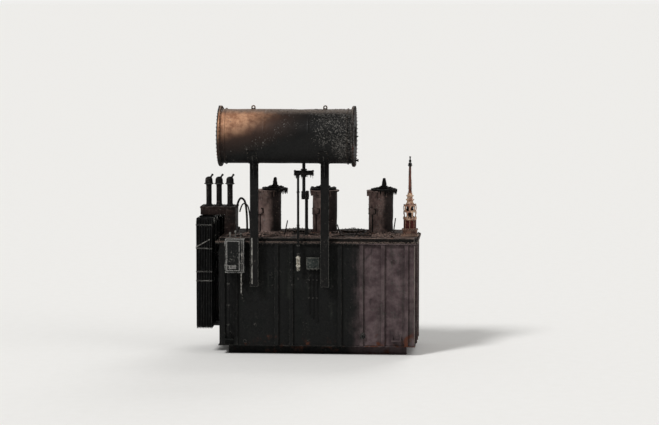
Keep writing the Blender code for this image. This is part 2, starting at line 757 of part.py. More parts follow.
def make_oil_pipe(finish):
    """The pipe from the valve to the cover, with the gas relay in its level run."""
    radius = OIL_PIPE_DIAMETER / 2
    flange = radius + PIPE_FLANGE_REACH
    relay_middle = (CONSERVATOR_Y + OIL_LANDING) / 2
    relay_front = relay_middle - RELAY_LENGTH / 2
    relay_back = relay_middle + RELAY_LENGTH / 2
    start = (OIL_PIPE_PLACE, CONSERVATOR_Y, VALVE_BOTTOM - SEAT_GAP)
    corner = (OIL_PIPE_PLACE, CONSERVATOR_Y, OIL_RUN_HEIGHT)
    end = (OIL_PIPE_PLACE, relay_front - SEAT_GAP, OIL_RUN_HEIGHT)
    flanged_pipe("oil_pipe_upper", (start, corner, end), finish)
    start = (OIL_PIPE_PLACE, relay_back + SEAT_GAP, OIL_RUN_HEIGHT)
    corner = (OIL_PIPE_PLACE, OIL_LANDING, OIL_RUN_HEIGHT)
    end = (OIL_PIPE_PLACE, OIL_LANDING, COVER_TOP + SEAT_GAP)
    flanged_pipe("oil_pipe_lower", (start, corner, end), finish)
    half = RELAY_WIDTH / 2
    rise = RELAY_HEIGHT / 2
    low = (OIL_PIPE_PLACE - half, relay_front + RELAY_NECK, OIL_RUN_HEIGHT - rise)
    high = (OIL_PIPE_PLACE + half, relay_back - RELAY_NECK, OIL_RUN_HEIGHT + rise)
    relay = add_object("gas_relay", box_mesh((low, high)), finish)
    toward_back = Matrix.Rotation(-math.pi / 2, 4, "X")
    place = Matrix.Translation((OIL_PIPE_PLACE, relay_front, OIL_RUN_HEIGHT)) @ toward_back
    neck = disc_profile(
        (flange, PIPE_FLANGE_THICKNESS),
        (radius, RELAY_LENGTH - 2 * PIPE_FLANGE_THICKNESS),
        (flange, PIPE_FLANGE_THICKNESS),
    )
    weld(relay, turned_mesh(neck, TURNED_SIDES, place))


def make_breather(finish, pale):
    """The breather's pipe from the valve down the tank's front, and the drying breather on its end."""
    radius = BREATHER_PIPE_DIAMETER / 2
    place = Matrix.Translation((BREATHER_PLACE, CONSERVATOR_Y, BREATHER_TOP + SEAT_GAP))
    length = VALVE_BOTTOM - SEAT_GAP - BREATHER_TOP - SEAT_GAP
    mesh = turned_mesh(disc_profile((radius, length)), PIPE_SIDES, place)
    pipe = add_object("breather_pipe", mesh, finish, True)
    strut_bottom = RIM_TOP - RIM_THICKNESS - WALL_PLATE - BREATHER_STRUT
    strut = (
        (BREATHER_PLACE - BREATHER_STRUT / 2, CONSERVATOR_Y, strut_bottom),
        (BREATHER_PLACE + BREATHER_STRUT / 2, FRONT_FACE - SEAT_GAP, strut_bottom + BREATHER_STRUT),
    )
    weld(pipe, box_mesh(strut))
    height = BREATHER_TOP - BREATHER_BOTTOM
    cup = height * BREATHER_CUP_SHARE
    profile = disc_profile((BREATHER_CUP_DIAMETER / 2, cup), (BREATHER_DIAMETER / 2, height - cup))
    place = Matrix.Translation((BREATHER_PLACE, CONSERVATOR_Y, BREATHER_BOTTOM))
    add_object("breather", turned_mesh(profile, TURNED_SIDES, place), pale, True)


def make_turrets(ashen, sooted):
    """Three turrets in a row on the cover, each with the slipped disc that held its bushing."""
    radius = TURRET_DIAMETER / 2
    flange = radius + TURRET_FLANGE_REACH
    profile = disc_profile(
        (flange, TURRET_FLANGE_THICKNESS),
        (radius, TURRET_HEIGHT - 2 * TURRET_FLANGE_THICKNESS),
        (flange, TURRET_FLANGE_THICKNESS),
    )
    remains = disc_profile(
        (HV_DISC_DIAMETER / 2, HV_DISC_THICKNESS),
        (HV_COLLAR_DIAMETER / 2, HV_COLLAR_HEIGHT),
        (HV_STUMP_DIAMETER / 2, HV_STUMP_HEIGHT),
    )
    bottom = COVER_TOP + SEAT_GAP
    top = bottom + TURRET_HEIGHT + SEAT_GAP
    for number, (place, slip) in enumerate(zip(TURRET_PLACES, HV_SLIPS), 1):
        seat = Matrix.Translation((place, TURRET_ROW, bottom))
        add_object(f"hv_turret_{number}", turned_mesh(profile, TURNED_SIDES, seat), ashen, True)
        seat = Matrix.Translation((place + slip[0], TURRET_ROW + slip[1], top))
        add_object(f"hv_bushing_{number}", turned_mesh(remains, TURNED_SIDES, seat), sooted, True)


def make_neutral_bushing(sooted, porcelain):
    """The neutral's bushing on the right end of the cover, its upper porcelain broken away."""
    x, y = NEUTRAL_PLACE
    bottom = COVER_TOP + SEAT_GAP
    plate_top = bottom + NEUTRAL_PLATE_THICKNESS
    half = NEUTRAL_PLATE_WIDTH / 2
    base = add_object(
        "neutral_bushing_base",
        box_mesh(((x - half, y - half, bottom), (x + half, y + half, plate_top))),
        sooted,
    )
    steps = disc_profile(
        (NEUTRAL_RING_DIAMETER / 2, NEUTRAL_RING_THICKNESS + WELD),
        (NEUTRAL_NECK_DIAMETER / 2, NEUTRAL_NECK_HEIGHT),
        (NEUTRAL_RING_DIAMETER / 2, NEUTRAL_RING_THICKNESS),
    )
    weld(base, turned_mesh(steps, TURNED_SIDES, Matrix.Translation((x, y, plate_top - WELD))))
    seat = plate_top + 2 * NEUTRAL_RING_THICKNESS + NEUTRAL_NECK_HEIGHT + SEAT_GAP
    steps = disc_profile(
        (NEUTRAL_BODY_DIAMETER / 2, NEUTRAL_BODY_HEIGHT),
        (NEUTRAL_UPPER_DIAMETER / 2, NEUTRAL_UPPER_HEIGHT),
        (NEUTRAL_STEM_DIAMETER / 2, NEUTRAL_STEM_HEIGHT),
        (NEUTRAL_TIP_DIAMETER / 2, NEUTRAL_TIP_HEIGHT),
    )
    mesh = turned_mesh(steps, TURNED_SIDES, Matrix.Translation((x, y, seat)))
    add_object("neutral_bushing", mesh, porcelain, True)


def make_low_voltage_box(finish):
    """The box over the radiators, carried by its neck on the left end of the cover."""
    bottom = RADIATOR_TOP + STRAP_HEIGHT
    top = bottom + LV_BOX_HEIGHT
    right = LV_BOX_LEFT + LV_BOX_LENGTH
    half = LV_BOX_WIDTH / 2
    span = ((LV_BOX_LEFT, -half, bottom), (right, half, top))
    box = add_object("lv_box", box_mesh(span), finish)
    neck_low = (right - LV_NECK_LENGTH, -half, COVER_TOP + SEAT_GAP)
    weld(box, box_mesh((neck_low, (right, half, bottom + WELD))))
    return top


def dome_steps(radius, height, start):
    """The profile of a round-shouldered cap from its foot up to the axis."""
    points = [(radius, start)]
    for step in range(1, BEND_STEPS + 1):
        angle = math.pi / 2 * step / BEND_STEPS
        reach = radius * math.cos(angle) if step < BEND_STEPS else 0
        points.append((reach, start + height * (1 + math.sin(angle)) / 2))
    return points


def make_low_voltage_bushings(box_top, finish):
    """Three posts with a rain ring, a domed cap and a leaning terminal stud."""
    seat = box_top + SEAT_GAP
    cap_foot = LV_POST_HEIGHT + LV_RING_THICKNESS
    profile = [
        (0, 0),
        (LV_FLANGE_DIAMETER / 2, 0),
        (LV_FLANGE_DIAMETER / 2, LV_FLANGE_THICKNESS),
        (LV_POST_DIAMETER / 2, LV_FLANGE_THICKNESS),
        (LV_POST_DIAMETER / 2, LV_POST_HEIGHT),
        (LV_RING_DIAMETER / 2, LV_POST_HEIGHT),
        (LV_RING_DIAMETER / 2, cap_foot),
        *dome_steps(LV_CAP_DIAMETER / 2, LV_CAP_HEIGHT, cap_foot),
    ]
    for number, place in enumerate(LV_PLACES, 1):
        at = Matrix.Translation((place, 0, seat))
        mesh = turned_mesh(profile, TURNED_SIDES, at)
        bushing = add_object(f"lv_bushing_{number}", mesh, finish, True)
        lean = Matrix.Rotation(math.radians(LV_STUD_LEAN_DEGREES), 4, "Y")
        root = Matrix.Translation((place, 0, seat + cap_foot + LV_CAP_HEIGHT / 2))
        stud = disc_profile((LV_STUD_DIAMETER / 2, LV_STUD_LENGTH))
        weld(bushing, turned_mesh(stud, PIPE_SIDES, root @ lean))


def radiator_rows():
    """Where each radiator stands along Y."""
    first = -RADIATOR_PITCH * (RADIATOR_COUNT - 1) / 2
    return [first + RADIATOR_PITCH * number for number in range(RADIATOR_COUNT)]


def panel_places():
    """The outer face of each panel along X, counted back from the wall."""
    last = LEFT_FACE - RADIATOR_STAND_OFF - PANEL_THICKNESS
    return [last - PANEL_PITCH * number for number in reversed(range(PANEL_COUNT))]


def header_end():
    """Where the top header meets its riser."""
    return panel_places()[-1] + PANEL_THICKNESS + HEADER_END


def make_radiator(name, row, finish):
    """A stack of panels between an upper and a lower header, tied by straps on both sides."""
    half = PANEL_WIDTH / 2
    panels = [
        ((x, row - half, RADIATOR_BOTTOM), (x + PANEL_THICKNESS, row + half, RADIATOR_TOP))
        for x in panel_places()
    ]
    radiator = add_object(name, box_mesh(*panels), finish)
    upper = RADIATOR_TOP - HEADER_INSET
    lower = RADIATOR_BOTTOM + HEADER_INSET
    wall = LEFT_FACE - SEAT_GAP
    first = panel_places()[0]
    start = first - HEADER_END
    for level, end in ((upper, header_end()), (lower, wall)):
        place = Matrix.Translation((start, row, level)) @ ALONG_X
        profile = disc_profile((HEADER_DIAMETER / 2, end - start))
        weld(radiator, turned_mesh(profile, HEADER_SIDES, place))
    last = panel_places()[-1] + PANEL_THICKNESS
    height = RADIATOR_TOP - RADIATOR_BOTTOM
    straps = []
    for share in STRAP_SHARES:
        level = RADIATOR_BOTTOM + share * height
        for edge in (row - half, row + half):
            low = (first - WELD, edge - STRAP_THICKNESS / 2, level)
            straps.append((low, (last + WELD, edge + STRAP_THICKNESS / 2, level + STRAP_HEIGHT)))
    weld(radiator, box_mesh(*straps))


def make_riser(name, row, finish):
    """The swan-neck pipe from the wall under the rim up to a radiator's top header."""
    wall = LEFT_FACE - SEAT_GAP
    middle = LEFT_FACE - RIM_WIDTH - RISER_DIAMETER / 2 - RISER_CLEARANCE
    level = RADIATOR_TOP - HEADER_INSET
    end = header_end() + SEAT_GAP
    corners = (
        (wall, row, RISER_START_HEIGHT),
        (middle, row, RISER_START_HEIGHT),
        (middle, row, level),
        (end, row, level),
    )
    route = bent_route(corners, RISER_BEND)
    add_object(name, pipe_mesh(route, RISER_DIAMETER), finish, True)


def make_radiators(finish):
    for number, row in enumerate(radiator_rows(), 1):
        make_radiator(f"radiator_{number}", row, finish)
        make_riser(f"radiator_riser_{number}", row, finish)


def hinge_levels():
    """The bottom of each hinge's lower knuckle."""
    return [CABINET_BOTTOM + share * CABINET_HEIGHT for share in HINGE_SHARES]


def knuckle(x, y, bottom):
    profile = disc_profile((HINGE_RADIUS, KNUCKLE_LENGTH))
    return turned_mesh(profile, PIPE_SIDES, Matrix.Translation((x, y, bottom)))


def cabinet_faces():
    """The body's back and front, the door's middle and the hinge axis, along Y and X."""
    back = FRONT_FACE - CABINET_STAND_OFF
    front = back - CABINET_DEPTH
    door_middle = front - DOOR_GAP - DOOR_THICKNESS / 2
    return back, front, door_middle, CABINET_LEFT - HINGE_OFFSET


def make_cabinet(finish):
    """The control cabinet's body, open at the front, on two rails that stand off the wall."""
    back, front, door_middle, hinge_x = cabinet_faces()
    right = CABINET_LEFT + CABINET_WIDTH
    outside = ((CABINET_LEFT, front, CABINET_BOTTOM), (right, back, CABINET_TOP))
    inside = (
        (CABINET_LEFT + CABINET_WALL, front - OVERRUN, CABINET_BOTTOM + CABINET_WALL),
        (right - CABINET_WALL, back - CABINET_WALL, CABINET_TOP - CABINET_WALL),
    )
    body = add_object("cabinet_body", box_mesh(outside), finish)
    cut(body, box_mesh(inside))
    for share in CABINET_RAIL_SHARES:
        level = CABINET_BOTTOM + share * CABINET_HEIGHT
        low = (CABINET_LEFT, back - CABINET_WALL / 2, level)
        high = (right, FRONT_FACE - RIB_DEPTH - SEAT_GAP, level + CABINET_RAIL_HEIGHT)
        weld(body, box_mesh((low, high)))
    for level in hinge_levels():
        weld(body, knuckle(hinge_x, door_middle, level))
        leaf = (
            (hinge_x - HINGE_LEAF / 2, door_middle, level),
            (hinge_x + HINGE_LEAF / 2, front + HINGE_OFFSET, level + KNUCKLE_LENGTH),
        )
        lug = (
            (hinge_x - HINGE_LEAF / 2, front + HINGE_LEAF, level),
            (CABINET_LEFT + CABINET_WALL / 2, front + HINGE_OFFSET, level + KNUCKLE_LENGTH),
        )
        weld(body, box_mesh(leaf), box_mesh(lug))


def make_cabinet_door(finish):
    """The door, carried on the upper knuckles of the hinges."""
    _, front, door_middle, hinge_x = cabinet_faces()
    outer = door_middle - DOOR_THICKNESS / 2
    right = CABINET_LEFT + CABINET_WIDTH
    panel = ((CABINET_LEFT, outer, CABINET_BOTTOM), (right, front - DOOR_GAP, CABINET_TOP))
    door = add_object("cabinet_door", box_mesh(panel), finish)
    for level in hinge_levels():
        bottom = level + KNUCKLE_LENGTH + KNUCKLE_GAP
        leaf = (
            (hinge_x, door_middle - HINGE_LEAF / 2, bottom),
            (CABINET_LEFT + HINGE_OFFSET, door_middle + HINGE_LEAF / 2, bottom + KNUCKLE_LENGTH),
        )
        weld(door, knuckle(hinge_x, door_middle, bottom), box_mesh(leaf))
    middle_x = CABINET_LEFT + HANDLE_SHARES[0] * CABINET_WIDTH
    middle_z = CABINET_BOTTOM + HANDLE_SHARES[1] * CABINET_HEIGHT
    handle = (
        (middle_x - HANDLE_WIDTH / 2, outer - HANDLE_DEPTH, middle_z - HANDLE_HEIGHT / 2),
        (middle_x + HANDLE_WIDTH / 2, outer + WELD, middle_z + HANDLE_HEIGHT / 2),
    )
    weld(door, box_mesh(handle))


def make_conduit(finish):
    """The conduit from the cabinet's underside down to the tank wall."""
    back, front, _, _ = cabinet_faces()
    x = CABINET_LEFT + CONDUIT_INSET
    y = (back + front) / 2
    corners = (
        (x, y, CABINET_BOTTOM - SEAT_GAP),
        (x, y, CONDUIT_FOOT_HEIGHT),
        (x, FRONT_FACE - SEAT_GAP, CONDUIT_FOOT_HEIGHT),
    )
    route = bent_route(corners, CONDUIT_BEND)
    add_object("cabinet_conduit", pipe_mesh(route, CONDUIT_DIAMETER), finish, True)


def make_junction_box(finish):
    half = JUNCTION_WIDTH / 2
    face = FRONT_FACE - SEAT_GAP
    low = (JUNCTION_PLACE - half, face - JUNCTION_DEPTH, JUNCTION_BOTTOM)
    high = (JUNCTION_PLACE + half, face, JUNCTION_BOTTOM + JUNCTION_HEIGHT)
    add_object("junction_box", box_mesh((low, high)), finish)


def main():
    clear_scene()
    sooted = sooted_paint()
    burnt = burnt_steel()
    scorched = scorched_grey()
    ashen = ashen_steel()
    porcelain = burnt_porcelain()
    pale = pale_housing()
    make_skids(sooted)
    make_floor(sooted)
    make_walls(sooted, scorched)
    make_cover(ashen)
    make_conservator_shell(burnt)
    make_end_covers(sooted)
    make_level_gauge(sooted)
    for name, place in zip(("conservator_leg_left", "conservator_leg_right"), LEG_PLACES):
        make_leg(name, place, sooted)
    make_valve(sooted)
    make_oil_pipe(sooted)
    make_breather(sooted, pale)
    make_turrets(ashen, sooted)
    make_neutral_bushing(sooted, porcelain)
    make_low_voltage_bushings(make_low_voltage_box(burnt), sooted)
    make_radiators(sooted)
    make_cabinet(sooted)
    make_cabinet_door(sooted)
    make_conduit(sooted)
    make_junction_box(scorched)


main()
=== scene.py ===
"""Looks for a burnt oil-filled power transformer: soot, ash, rust and broken porcelain over the CAD frame.

Metres, +Z up. X runs along the tank, the conservator stands on the -Y side, and the ground is z = 0.
"""

import math
import random

import bmesh
import bpy
from mathutils import Matrix, Vector, noise


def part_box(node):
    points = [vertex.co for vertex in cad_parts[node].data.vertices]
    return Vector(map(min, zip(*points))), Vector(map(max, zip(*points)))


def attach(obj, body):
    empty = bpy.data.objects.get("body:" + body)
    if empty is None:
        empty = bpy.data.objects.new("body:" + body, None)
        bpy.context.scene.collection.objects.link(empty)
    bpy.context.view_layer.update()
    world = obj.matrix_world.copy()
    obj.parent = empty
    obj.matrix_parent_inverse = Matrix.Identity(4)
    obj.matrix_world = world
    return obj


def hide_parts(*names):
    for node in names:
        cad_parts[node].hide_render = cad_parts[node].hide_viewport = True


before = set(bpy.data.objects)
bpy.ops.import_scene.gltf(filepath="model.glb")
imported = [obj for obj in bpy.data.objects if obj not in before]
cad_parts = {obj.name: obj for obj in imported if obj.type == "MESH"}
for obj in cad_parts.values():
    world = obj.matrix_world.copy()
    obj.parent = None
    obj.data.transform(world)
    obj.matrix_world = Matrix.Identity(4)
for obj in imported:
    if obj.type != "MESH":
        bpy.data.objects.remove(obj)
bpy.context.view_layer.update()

MAIN_BODY = "transformer"
DOOR_BODY = "door"


def span(node):
    """A CAD node's lowest and highest corners, to a tenth of a millimetre."""
    return [[round(value, 4) for value in corner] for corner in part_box(node)]


def middle(node):
    low, high = span(node)
    return [round((start + end) / 2, 3) for start, end in zip(low, high)]


def even(start, end, count):
    """Evenly spaced values from the start to the end."""
    return [start + (end - start) * step / (count - 1) for step in range(count)]


# Tank
FRONT_FACE, REAR_FACE, LEFT_FACE, RIGHT_FACE = -1.30, 1.30, -2.72, 2.72
WALL_FOOT = 0.2756
RIM_UNDERSIDE = 3.1156
FLANGE_TOP = 3.1759
COVER_TOP = 3.2759
RIM_MIDDLE = 0.052  # from a wall to the middle of its rim
HALF_RIB = 0.05
SEAT = 0.0003  # the gap at which a piece sits on another's face

# Each wall: name, quarter turns from the front, distance from the middle, half length and the places of
# its ribs as shares of that half length
WALLS = (
    ("front", 0, 1.30, 2.72, (-0.96, -0.83, -0.41, -0.26, 0.24, 0.46, 0.68, 0.92)),
    ("rear", 2, 1.30, 2.72, (-0.92, -0.61, -0.31, 0.0, 0.31, 0.61, 0.92)),
    ("right", 1, 2.72, 1.2877, (-0.52, 0.0, 0.52)),
    ("left", 3, 2.72, 1.2877, (-0.52, 0.0, 0.52)),
)

# Conservator
(SHELL_LEFT, _, _), (SHELL_RIGHT, _, _) = span("conservator_shell")
_, AXIS_Y, AXIS_Z = middle("conservator_cover_left")
SHELL_LENGTH = SHELL_RIGHT - SHELL_LEFT
SHELL_RADIUS = 0.75
SHELL_BAND = 0.16  # from an end to the middle of its stiffening band
SHELL_SEAMS = (1.25, 2.47)
FLANGE_RADIUS = 0.84
COVER_THICKNESS = 0.03
LEG_PLACES = (-1.71, 0.25)
EYE_PLACES = (-1.7225, 0.265)
PIPE_X = -0.33
PIPES_TOP = 5.0294  # where the oil pipe and the breather's pipe start, under the cross pipe
RELAY_Y, RELAY_LEVEL = -1.06, 4.46
BREATHER_X = middle("breather")[0]

# Turrets, bushings and boxes
TURRETS = {number: middle(f"hv_turret_{number}")[:2] for number in (1, 2, 3)}
(_, _, TURRET_FOOT), (_, _, TURRET_HEAD) = span("hv_turret_1")
TURRET_RADIUS = 0.35
TURRET_FLANGE = 0.41
HV_SLIPS = {1: (0.17, 0.02), 2: (-0.05, 0.10), 3: (0.09, -0.08)}  # how far each burnt disc slipped
NEUTRAL_X, NEUTRAL_Y, _ = middle("neutral_bushing_base")
LV_PLACES = (-3.16, -2.87, -2.56)
(LV_LEFT, _, _), (LV_RIGHT, LV_HALF, LV_BOX_TOP) = span("lv_box")
LV_BOX_FOOT = 3.83
RADIATOR_ROWS = {number: middle(f"radiator_{number}")[1] for number in (1, 2, 3, 4)}
(_, _, RADIATOR_BOTTOM), (_, _, RADIATOR_TOP) = span("radiator_1")
MANHOLES = ((-0.70, 0.55), (0.90, 0.55))

# Control cabinet and the pin of its hinges
CABINET = ((-2.50, -1.70, 2.34), (-1.98, -1.42, 3.28))
HINGE_X = -2.518
HINGE_Y = -1.716
HINGE_LEVELS = [CABINET[0][2] + share * (CABINET[1][2] - CABINET[0][2]) for share in (0.15, 0.80)]

# Takes a shape's X, Y and Z to the model's Y, Z and X.
ALONG_X = Matrix(((0, 0, 1, 0), (1, 0, 0, 0), (0, 1, 0, 0), (0, 0, 0, 1)))
# Take a shape's Z to the model's -Y, Y, -X and X.
TO_FRONT = Matrix.Rotation(math.pi / 2, 4, "X")
TO_BACK = Matrix.Rotation(-math.pi / 2, 4, "X")
TO_LEFT = Matrix.Rotation(-math.pi / 2, 4, "Y")
TO_RIGHT = Matrix.Rotation(math.pi / 2, 4, "Y")
UP = (0, 0, 1)
DOWN = (0, 0, -1)


def at(x, y, z):
    return Matrix.Translation((x, y, z))


def turned(degrees, axis="Z"):
    return Matrix.Rotation(math.radians(degrees), 4, axis)


SHELL_START = at(SHELL_LEFT, AXIS_Y, AXIS_Z) @ ALONG_X


# ---------------------------------------------------------------- shader toolkit


def linear(code):
    """A colour written as the eye sees it, two hex digits each for red, green and blue, turned linear."""
    parts = [int(code[place : place + 2], 16) / 255 for place in (0, 2, 4)]
    return (*(part / 12.92 if part <= 0.04045 else ((part + 0.055) / 1.055) ** 2.4 for part in parts), 1.0)


def feed(tree, socket, value):
    if isinstance(value, bpy.types.NodeSocket):
        tree.links.new(value, socket)
    elif socket.type == "RGBA" and isinstance(value, str):
        socket.default_value = linear(value)
    else:
        socket.default_value = value


def put(tree, kind, inputs=None, **settings):
    """Adds a node, with its settings and what feeds its sockets."""
    node = tree.nodes.new(kind)
    for name, value in settings.items():
        setattr(node, name, value)
    for key, value in (inputs or {}).items():
        feed(tree, node.inputs[key], value)
    return node


def mix(tree, factor, first, second):
    return put(tree, "ShaderNodeMix", {0: factor, 6: first, 7: second}, data_type="RGBA").outputs[2]


def math_node(tree, operation, first, second):
    return put(tree, "ShaderNodeMath", {0: first, 1: second}, operation=operation).outputs[0]


def plus(tree, first, second):
    return math_node(tree, "ADD", first, second)


def minus(tree, first, second):
    return math_node(tree, "SUBTRACT", first, second)


def times(tree, first, second):
    return math_node(tree, "MULTIPLY", first, second)


def vector_math(tree, operation, inputs):
    return put(tree, "ShaderNodeVectorMath", inputs, operation=operation).outputs


def spread(tree, value, low, high, to_low=0.0, to_high=1.0):
    """A value taken smoothly from one range to another and held inside it."""
    inputs = {"Value": value, 1: low, 2: high, 3: to_low, 4: to_high}
    return put(tree, "ShaderNodeMapRange", inputs, interpolation_type="SMOOTHSTEP").outputs[0]


def grain(tree, position, scale, detail=5.0, roughness=0.55, distortion=0.0, stretch=(1, 1, 1), away=0.0):
    """Noise from 0 to 1, stretched along an axis if wanted and taken away from the others' places."""
    if away or stretch != (1, 1, 1):
        shift = (away, away * 0.7, -away * 0.4)
        settings = {"Vector": position, "Location": shift, "Scale": stretch}
        position = put(tree, "ShaderNodeMapping", settings).outputs[0]
    inputs = {"Vector": position, "Scale": scale, "Detail": detail}
    inputs |= {"Roughness": roughness, "Distortion": distortion}
    return put(tree, "ShaderNodeTexNoise", inputs).outputs["Fac"]


def parts_of(tree, vector):
    return put(tree, "ShaderNodeSeparateXYZ", {0: vector}).outputs


def normal_of(tree):
    return put(tree, "ShaderNodeNewGeometry").outputs["Normal"]


def new_tree(name, kind, inputs, outputs):
    """A node group with its sockets; gives the tree and the ends of its inputs and outputs."""
    tree = bpy.data.node_groups.new(name, kind)
    for sockets, side in ((inputs, "INPUT"), (outputs, "OUTPUT")):
        for label, (socket_kind, value) in sockets.items():
            socket_kind = "NodeSocket" + socket_kind
            socket = tree.interface.new_socket(name=label, in_out=side, socket_type=socket_kind)
            if value is not None:
                socket.default_value = value
    return tree, tree.nodes.new("NodeGroupInput").outputs, tree.nodes.new("NodeGroupOutput").inputs


# ---------------------------------------------------------------- layers of soot, rust, paint and ash


def soot(tree, position, given):
    """Matt soot in clouds, with runs that hang straight down."""
    clouds = grain(tree, position, given["Scale"], 7.0, 0.62, 0.6, away=13.7)
    runs = grain(tree, position, given["Scale"], 5.0, 0.6, 0.2, (5.0, 5.0, 0.35), 5.3)
    both = plus(tree, times(tree, clouds, 0.65), times(tree, runs, 0.35))
    threshold = minus(tree, 0.86, times(tree, given["Amount"], 0.72))
    mask = spread(tree, minus(tree, both, threshold), -0.06, 0.10)
    fine = grain(tree, position, 60.0, 3.0)
    return mask, mix(tree, spread(tree, fine, 0.35, 0.75), given["Tint"], "1e1d1c"), 0.12


def rust(tree, position, given):
    """Rust that breaks out in spots and grows together."""
    spots = grain(tree, position, given["Scale"], 8.0, 0.68, 0.4, away=29.1)
    fine = grain(tree, position, 85.0, 4.0, 0.6)
    threshold = minus(tree, 0.80, times(tree, given["Amount"], 0.5))
    mask = spread(tree, minus(tree, spots, threshold), -0.02, 0.09)
    return mask, mix(tree, spread(tree, fine, 0.3, 0.7), "3a1e14", given["Tint"]), times(tree, fine, 0.5)


def flakes(tree, position, given):
    """Burnt paint that has cracked into scales; some have curled up and show their pale backs."""
    bend = put(tree, "ShaderNodeTexNoise", {"Vector": position, "Scale": 9.0, "Detail": 3.0}).outputs["Color"]
    nudge = vector_math(tree, "SCALE", {0: bend, 3: 0.09})[0]
    cracks = {"Vector": vector_math(tree, "ADD", {0: position, 1: nudge})[0], "Scale": given["Scale"]}
    chance = parts_of(tree, put(tree, "ShaderNodeTexVoronoi", cracks).outputs["Color"])
    edges = put(tree, "ShaderNodeTexVoronoi", cracks, feature="DISTANCE_TO_EDGE").outputs["Distance"]
    lifted = plus(tree, times(tree, chance[0], 0.5), grain(tree, position, 2.6, 5.0, 0.65, away=41.9))
    threshold = minus(tree, 1.12, times(tree, given["Amount"], 0.55))
    curled = spread(tree, minus(tree, lifted, threshold), -0.01, 0.05)
    rim = spread(tree, edges, 0.16, 0.02)
    broken = spread(tree, grain(tree, position, 38.0, 3.0, away=71.3), 0.44, 0.60)
    whole = times(tree, spread(tree, chance[1], 0.72, 0.80), 0.7)
    mask = times(tree, curled, math_node(tree, "MAXIMUM", times(tree, rim, broken), whole))
    fine = grain(tree, position, 70.0, 2.0)
    return mask, mix(tree, spread(tree, fine, 0.3, 0.7), "34302e", given["Tint"]), 1.4


def worn_edges_and_highlights(tree, position, given):
    """Bare or rubbed edges, and a painted highlight along edges. Scale is the width of the edge in metres."""
    rounded = put(tree, "ShaderNodeBevel", {"Radius": given["Scale"]}, samples=6).outputs[0]
    facing = vector_math(tree, "DOT_PRODUCT", {0: rounded, 1: normal_of(tree)})["Value"]
    broken = grain(tree, position, 9.0, 6.0, 0.7, away=61.7)
    threshold = minus(tree, 0.75, times(tree, given["Amount"], 0.5))
    kept = spread(tree, minus(tree, broken, threshold), -0.05, 0.06)
    return times(tree, spread(tree, facing, 0.995, 0.86), kept), given["Tint"], 0.0


def settled_ash(tree, position, given):
    """Ash and dust that settled on what faces up."""
    clouds = grain(tree, position, given["Scale"], 7.0, 0.65, 0.3, away=53.3)
    up = parts_of(tree, normal_of(tree))[2]
    reach = times(tree, spread(tree, up, 0.35, 0.95), given["Amount"])
    mask = spread(tree, plus(tree, times(tree, clouds, 0.9), reach), 1.0, 1.38)
    fine = grain(tree, position, 55.0, 4.0, 0.7)
    return mask, mix(tree, spread(tree, fine, 0.3, 0.72), given["Tint"], "60544e"), times(tree, fine, 0.6)


def layer_group(recipe):
    """A layer as a node group: its mask lays its tint over the colour and adds its rise to the height."""
    color, number = ("Color", None), ("Float", None)
    inputs = {"Position": ("Vector", None), "Color": color, "Height": number}
    inputs |= {"Tint": color, "Amount": number, "Scale": number}
    outputs = {"Color": color, "Height": number, "Mask": number}
    tree, given, out = new_tree(recipe.__name__, "ShaderNodeTree", inputs, outputs)
    mask, tint, rise = recipe(tree, given["Position"], given)
    feed(tree, out["Color"], mix(tree, mask, given["Color"], tint))
    feed(tree, out["Height"], plus(tree, given["Height"], times(tree, mask, rise)))
    feed(tree, out["Mask"], mask)
    return tree


LAYERS = {
    "soot": layer_group(soot),
    "rust": layer_group(rust),
    "flakes": layer_group(flakes),
    "edges": layer_group(worn_edges_and_highlights),
    "ash": layer_group(settled_ash),
}


class Surface:
    """A material whose colour and height pass through one layer after another."""

    def __init__(self, name, dark, light, scale):
        self.material = bpy.data.materials.new(name)
        self.material.use_nodes = True
        self.tree = self.material.node_tree
        self.shader = self.tree.nodes["Principled BSDF"]
        self.position = put(self.tree, "ShaderNodeTexCoord").outputs["Object"]
        self.color = self.tones(dark, light, 0.32, 0.70, scale, 6.0, 0.6, 0.3)
        self.height = times(self.tree, self.grain(40.0, 4.0), 0.25)

    def grain(self, *settings, **more):
        return grain(self.tree, self.position, *settings, **more)

    def spread(self, *settings):
        return spread(self.tree, *settings)

    def place(self, axis):
        return parts_of(self.tree, self.position)[axis]

    def tones(self, dark, light, low, high, *settings, **more):
        """Two colours that take turns where a noise goes from low to high."""
        return mix(self.tree, self.spread(self.grain(*settings, **more), low, high), dark, light)

    def layer(self, kind, tint, amount, scale):
        """Passes the colour and height through a shared layer. Where the amount changes with height, it is
        given as (from level, to level, from amount, to amount)."""
        if isinstance(amount, tuple):
            amount = self.spread(self.place("Z"), *amount)
        group = put(self.tree, "ShaderNodeGroup", node_tree=LAYERS[kind])
        given = {"Position": self.position, "Color": self.color, "Height": self.height}
        given |= {"Tint": tint, "Amount": amount, "Scale": scale}
        for label, value in given.items():
            feed(self.tree, group.inputs[label], value)
        self.color = group.outputs["Color"]
        self.height = group.outputs["Height"]

    def over(self, mask, tint):
        self.color = mix(self.tree, mask, self.color, tint)

    def done(self, rough_low, rough_high, metallic, bump, distance, sheen=0.12):
        """Feeds the shader. The roughness moves between its two ends over the surface."""
        rough = self.spread(self.grain(18.0, 5.0, 0.6), 0.3, 0.7, rough_low, rough_high)
        raised = {"Strength": bump, "Distance": distance, "Height": self.height}
        for label, value in (
            ("Roughness", rough),
            ("Base Color", self.color),
            ("Metallic", metallic),
            ("Specular IOR Level", sheen),
            ("Normal", put(self.tree, "ShaderNodeBump", raised).outputs[0]),
        ):
            feed(self.tree, self.shader.inputs[label], value)


# ---------------------------------------------------------------- finishes

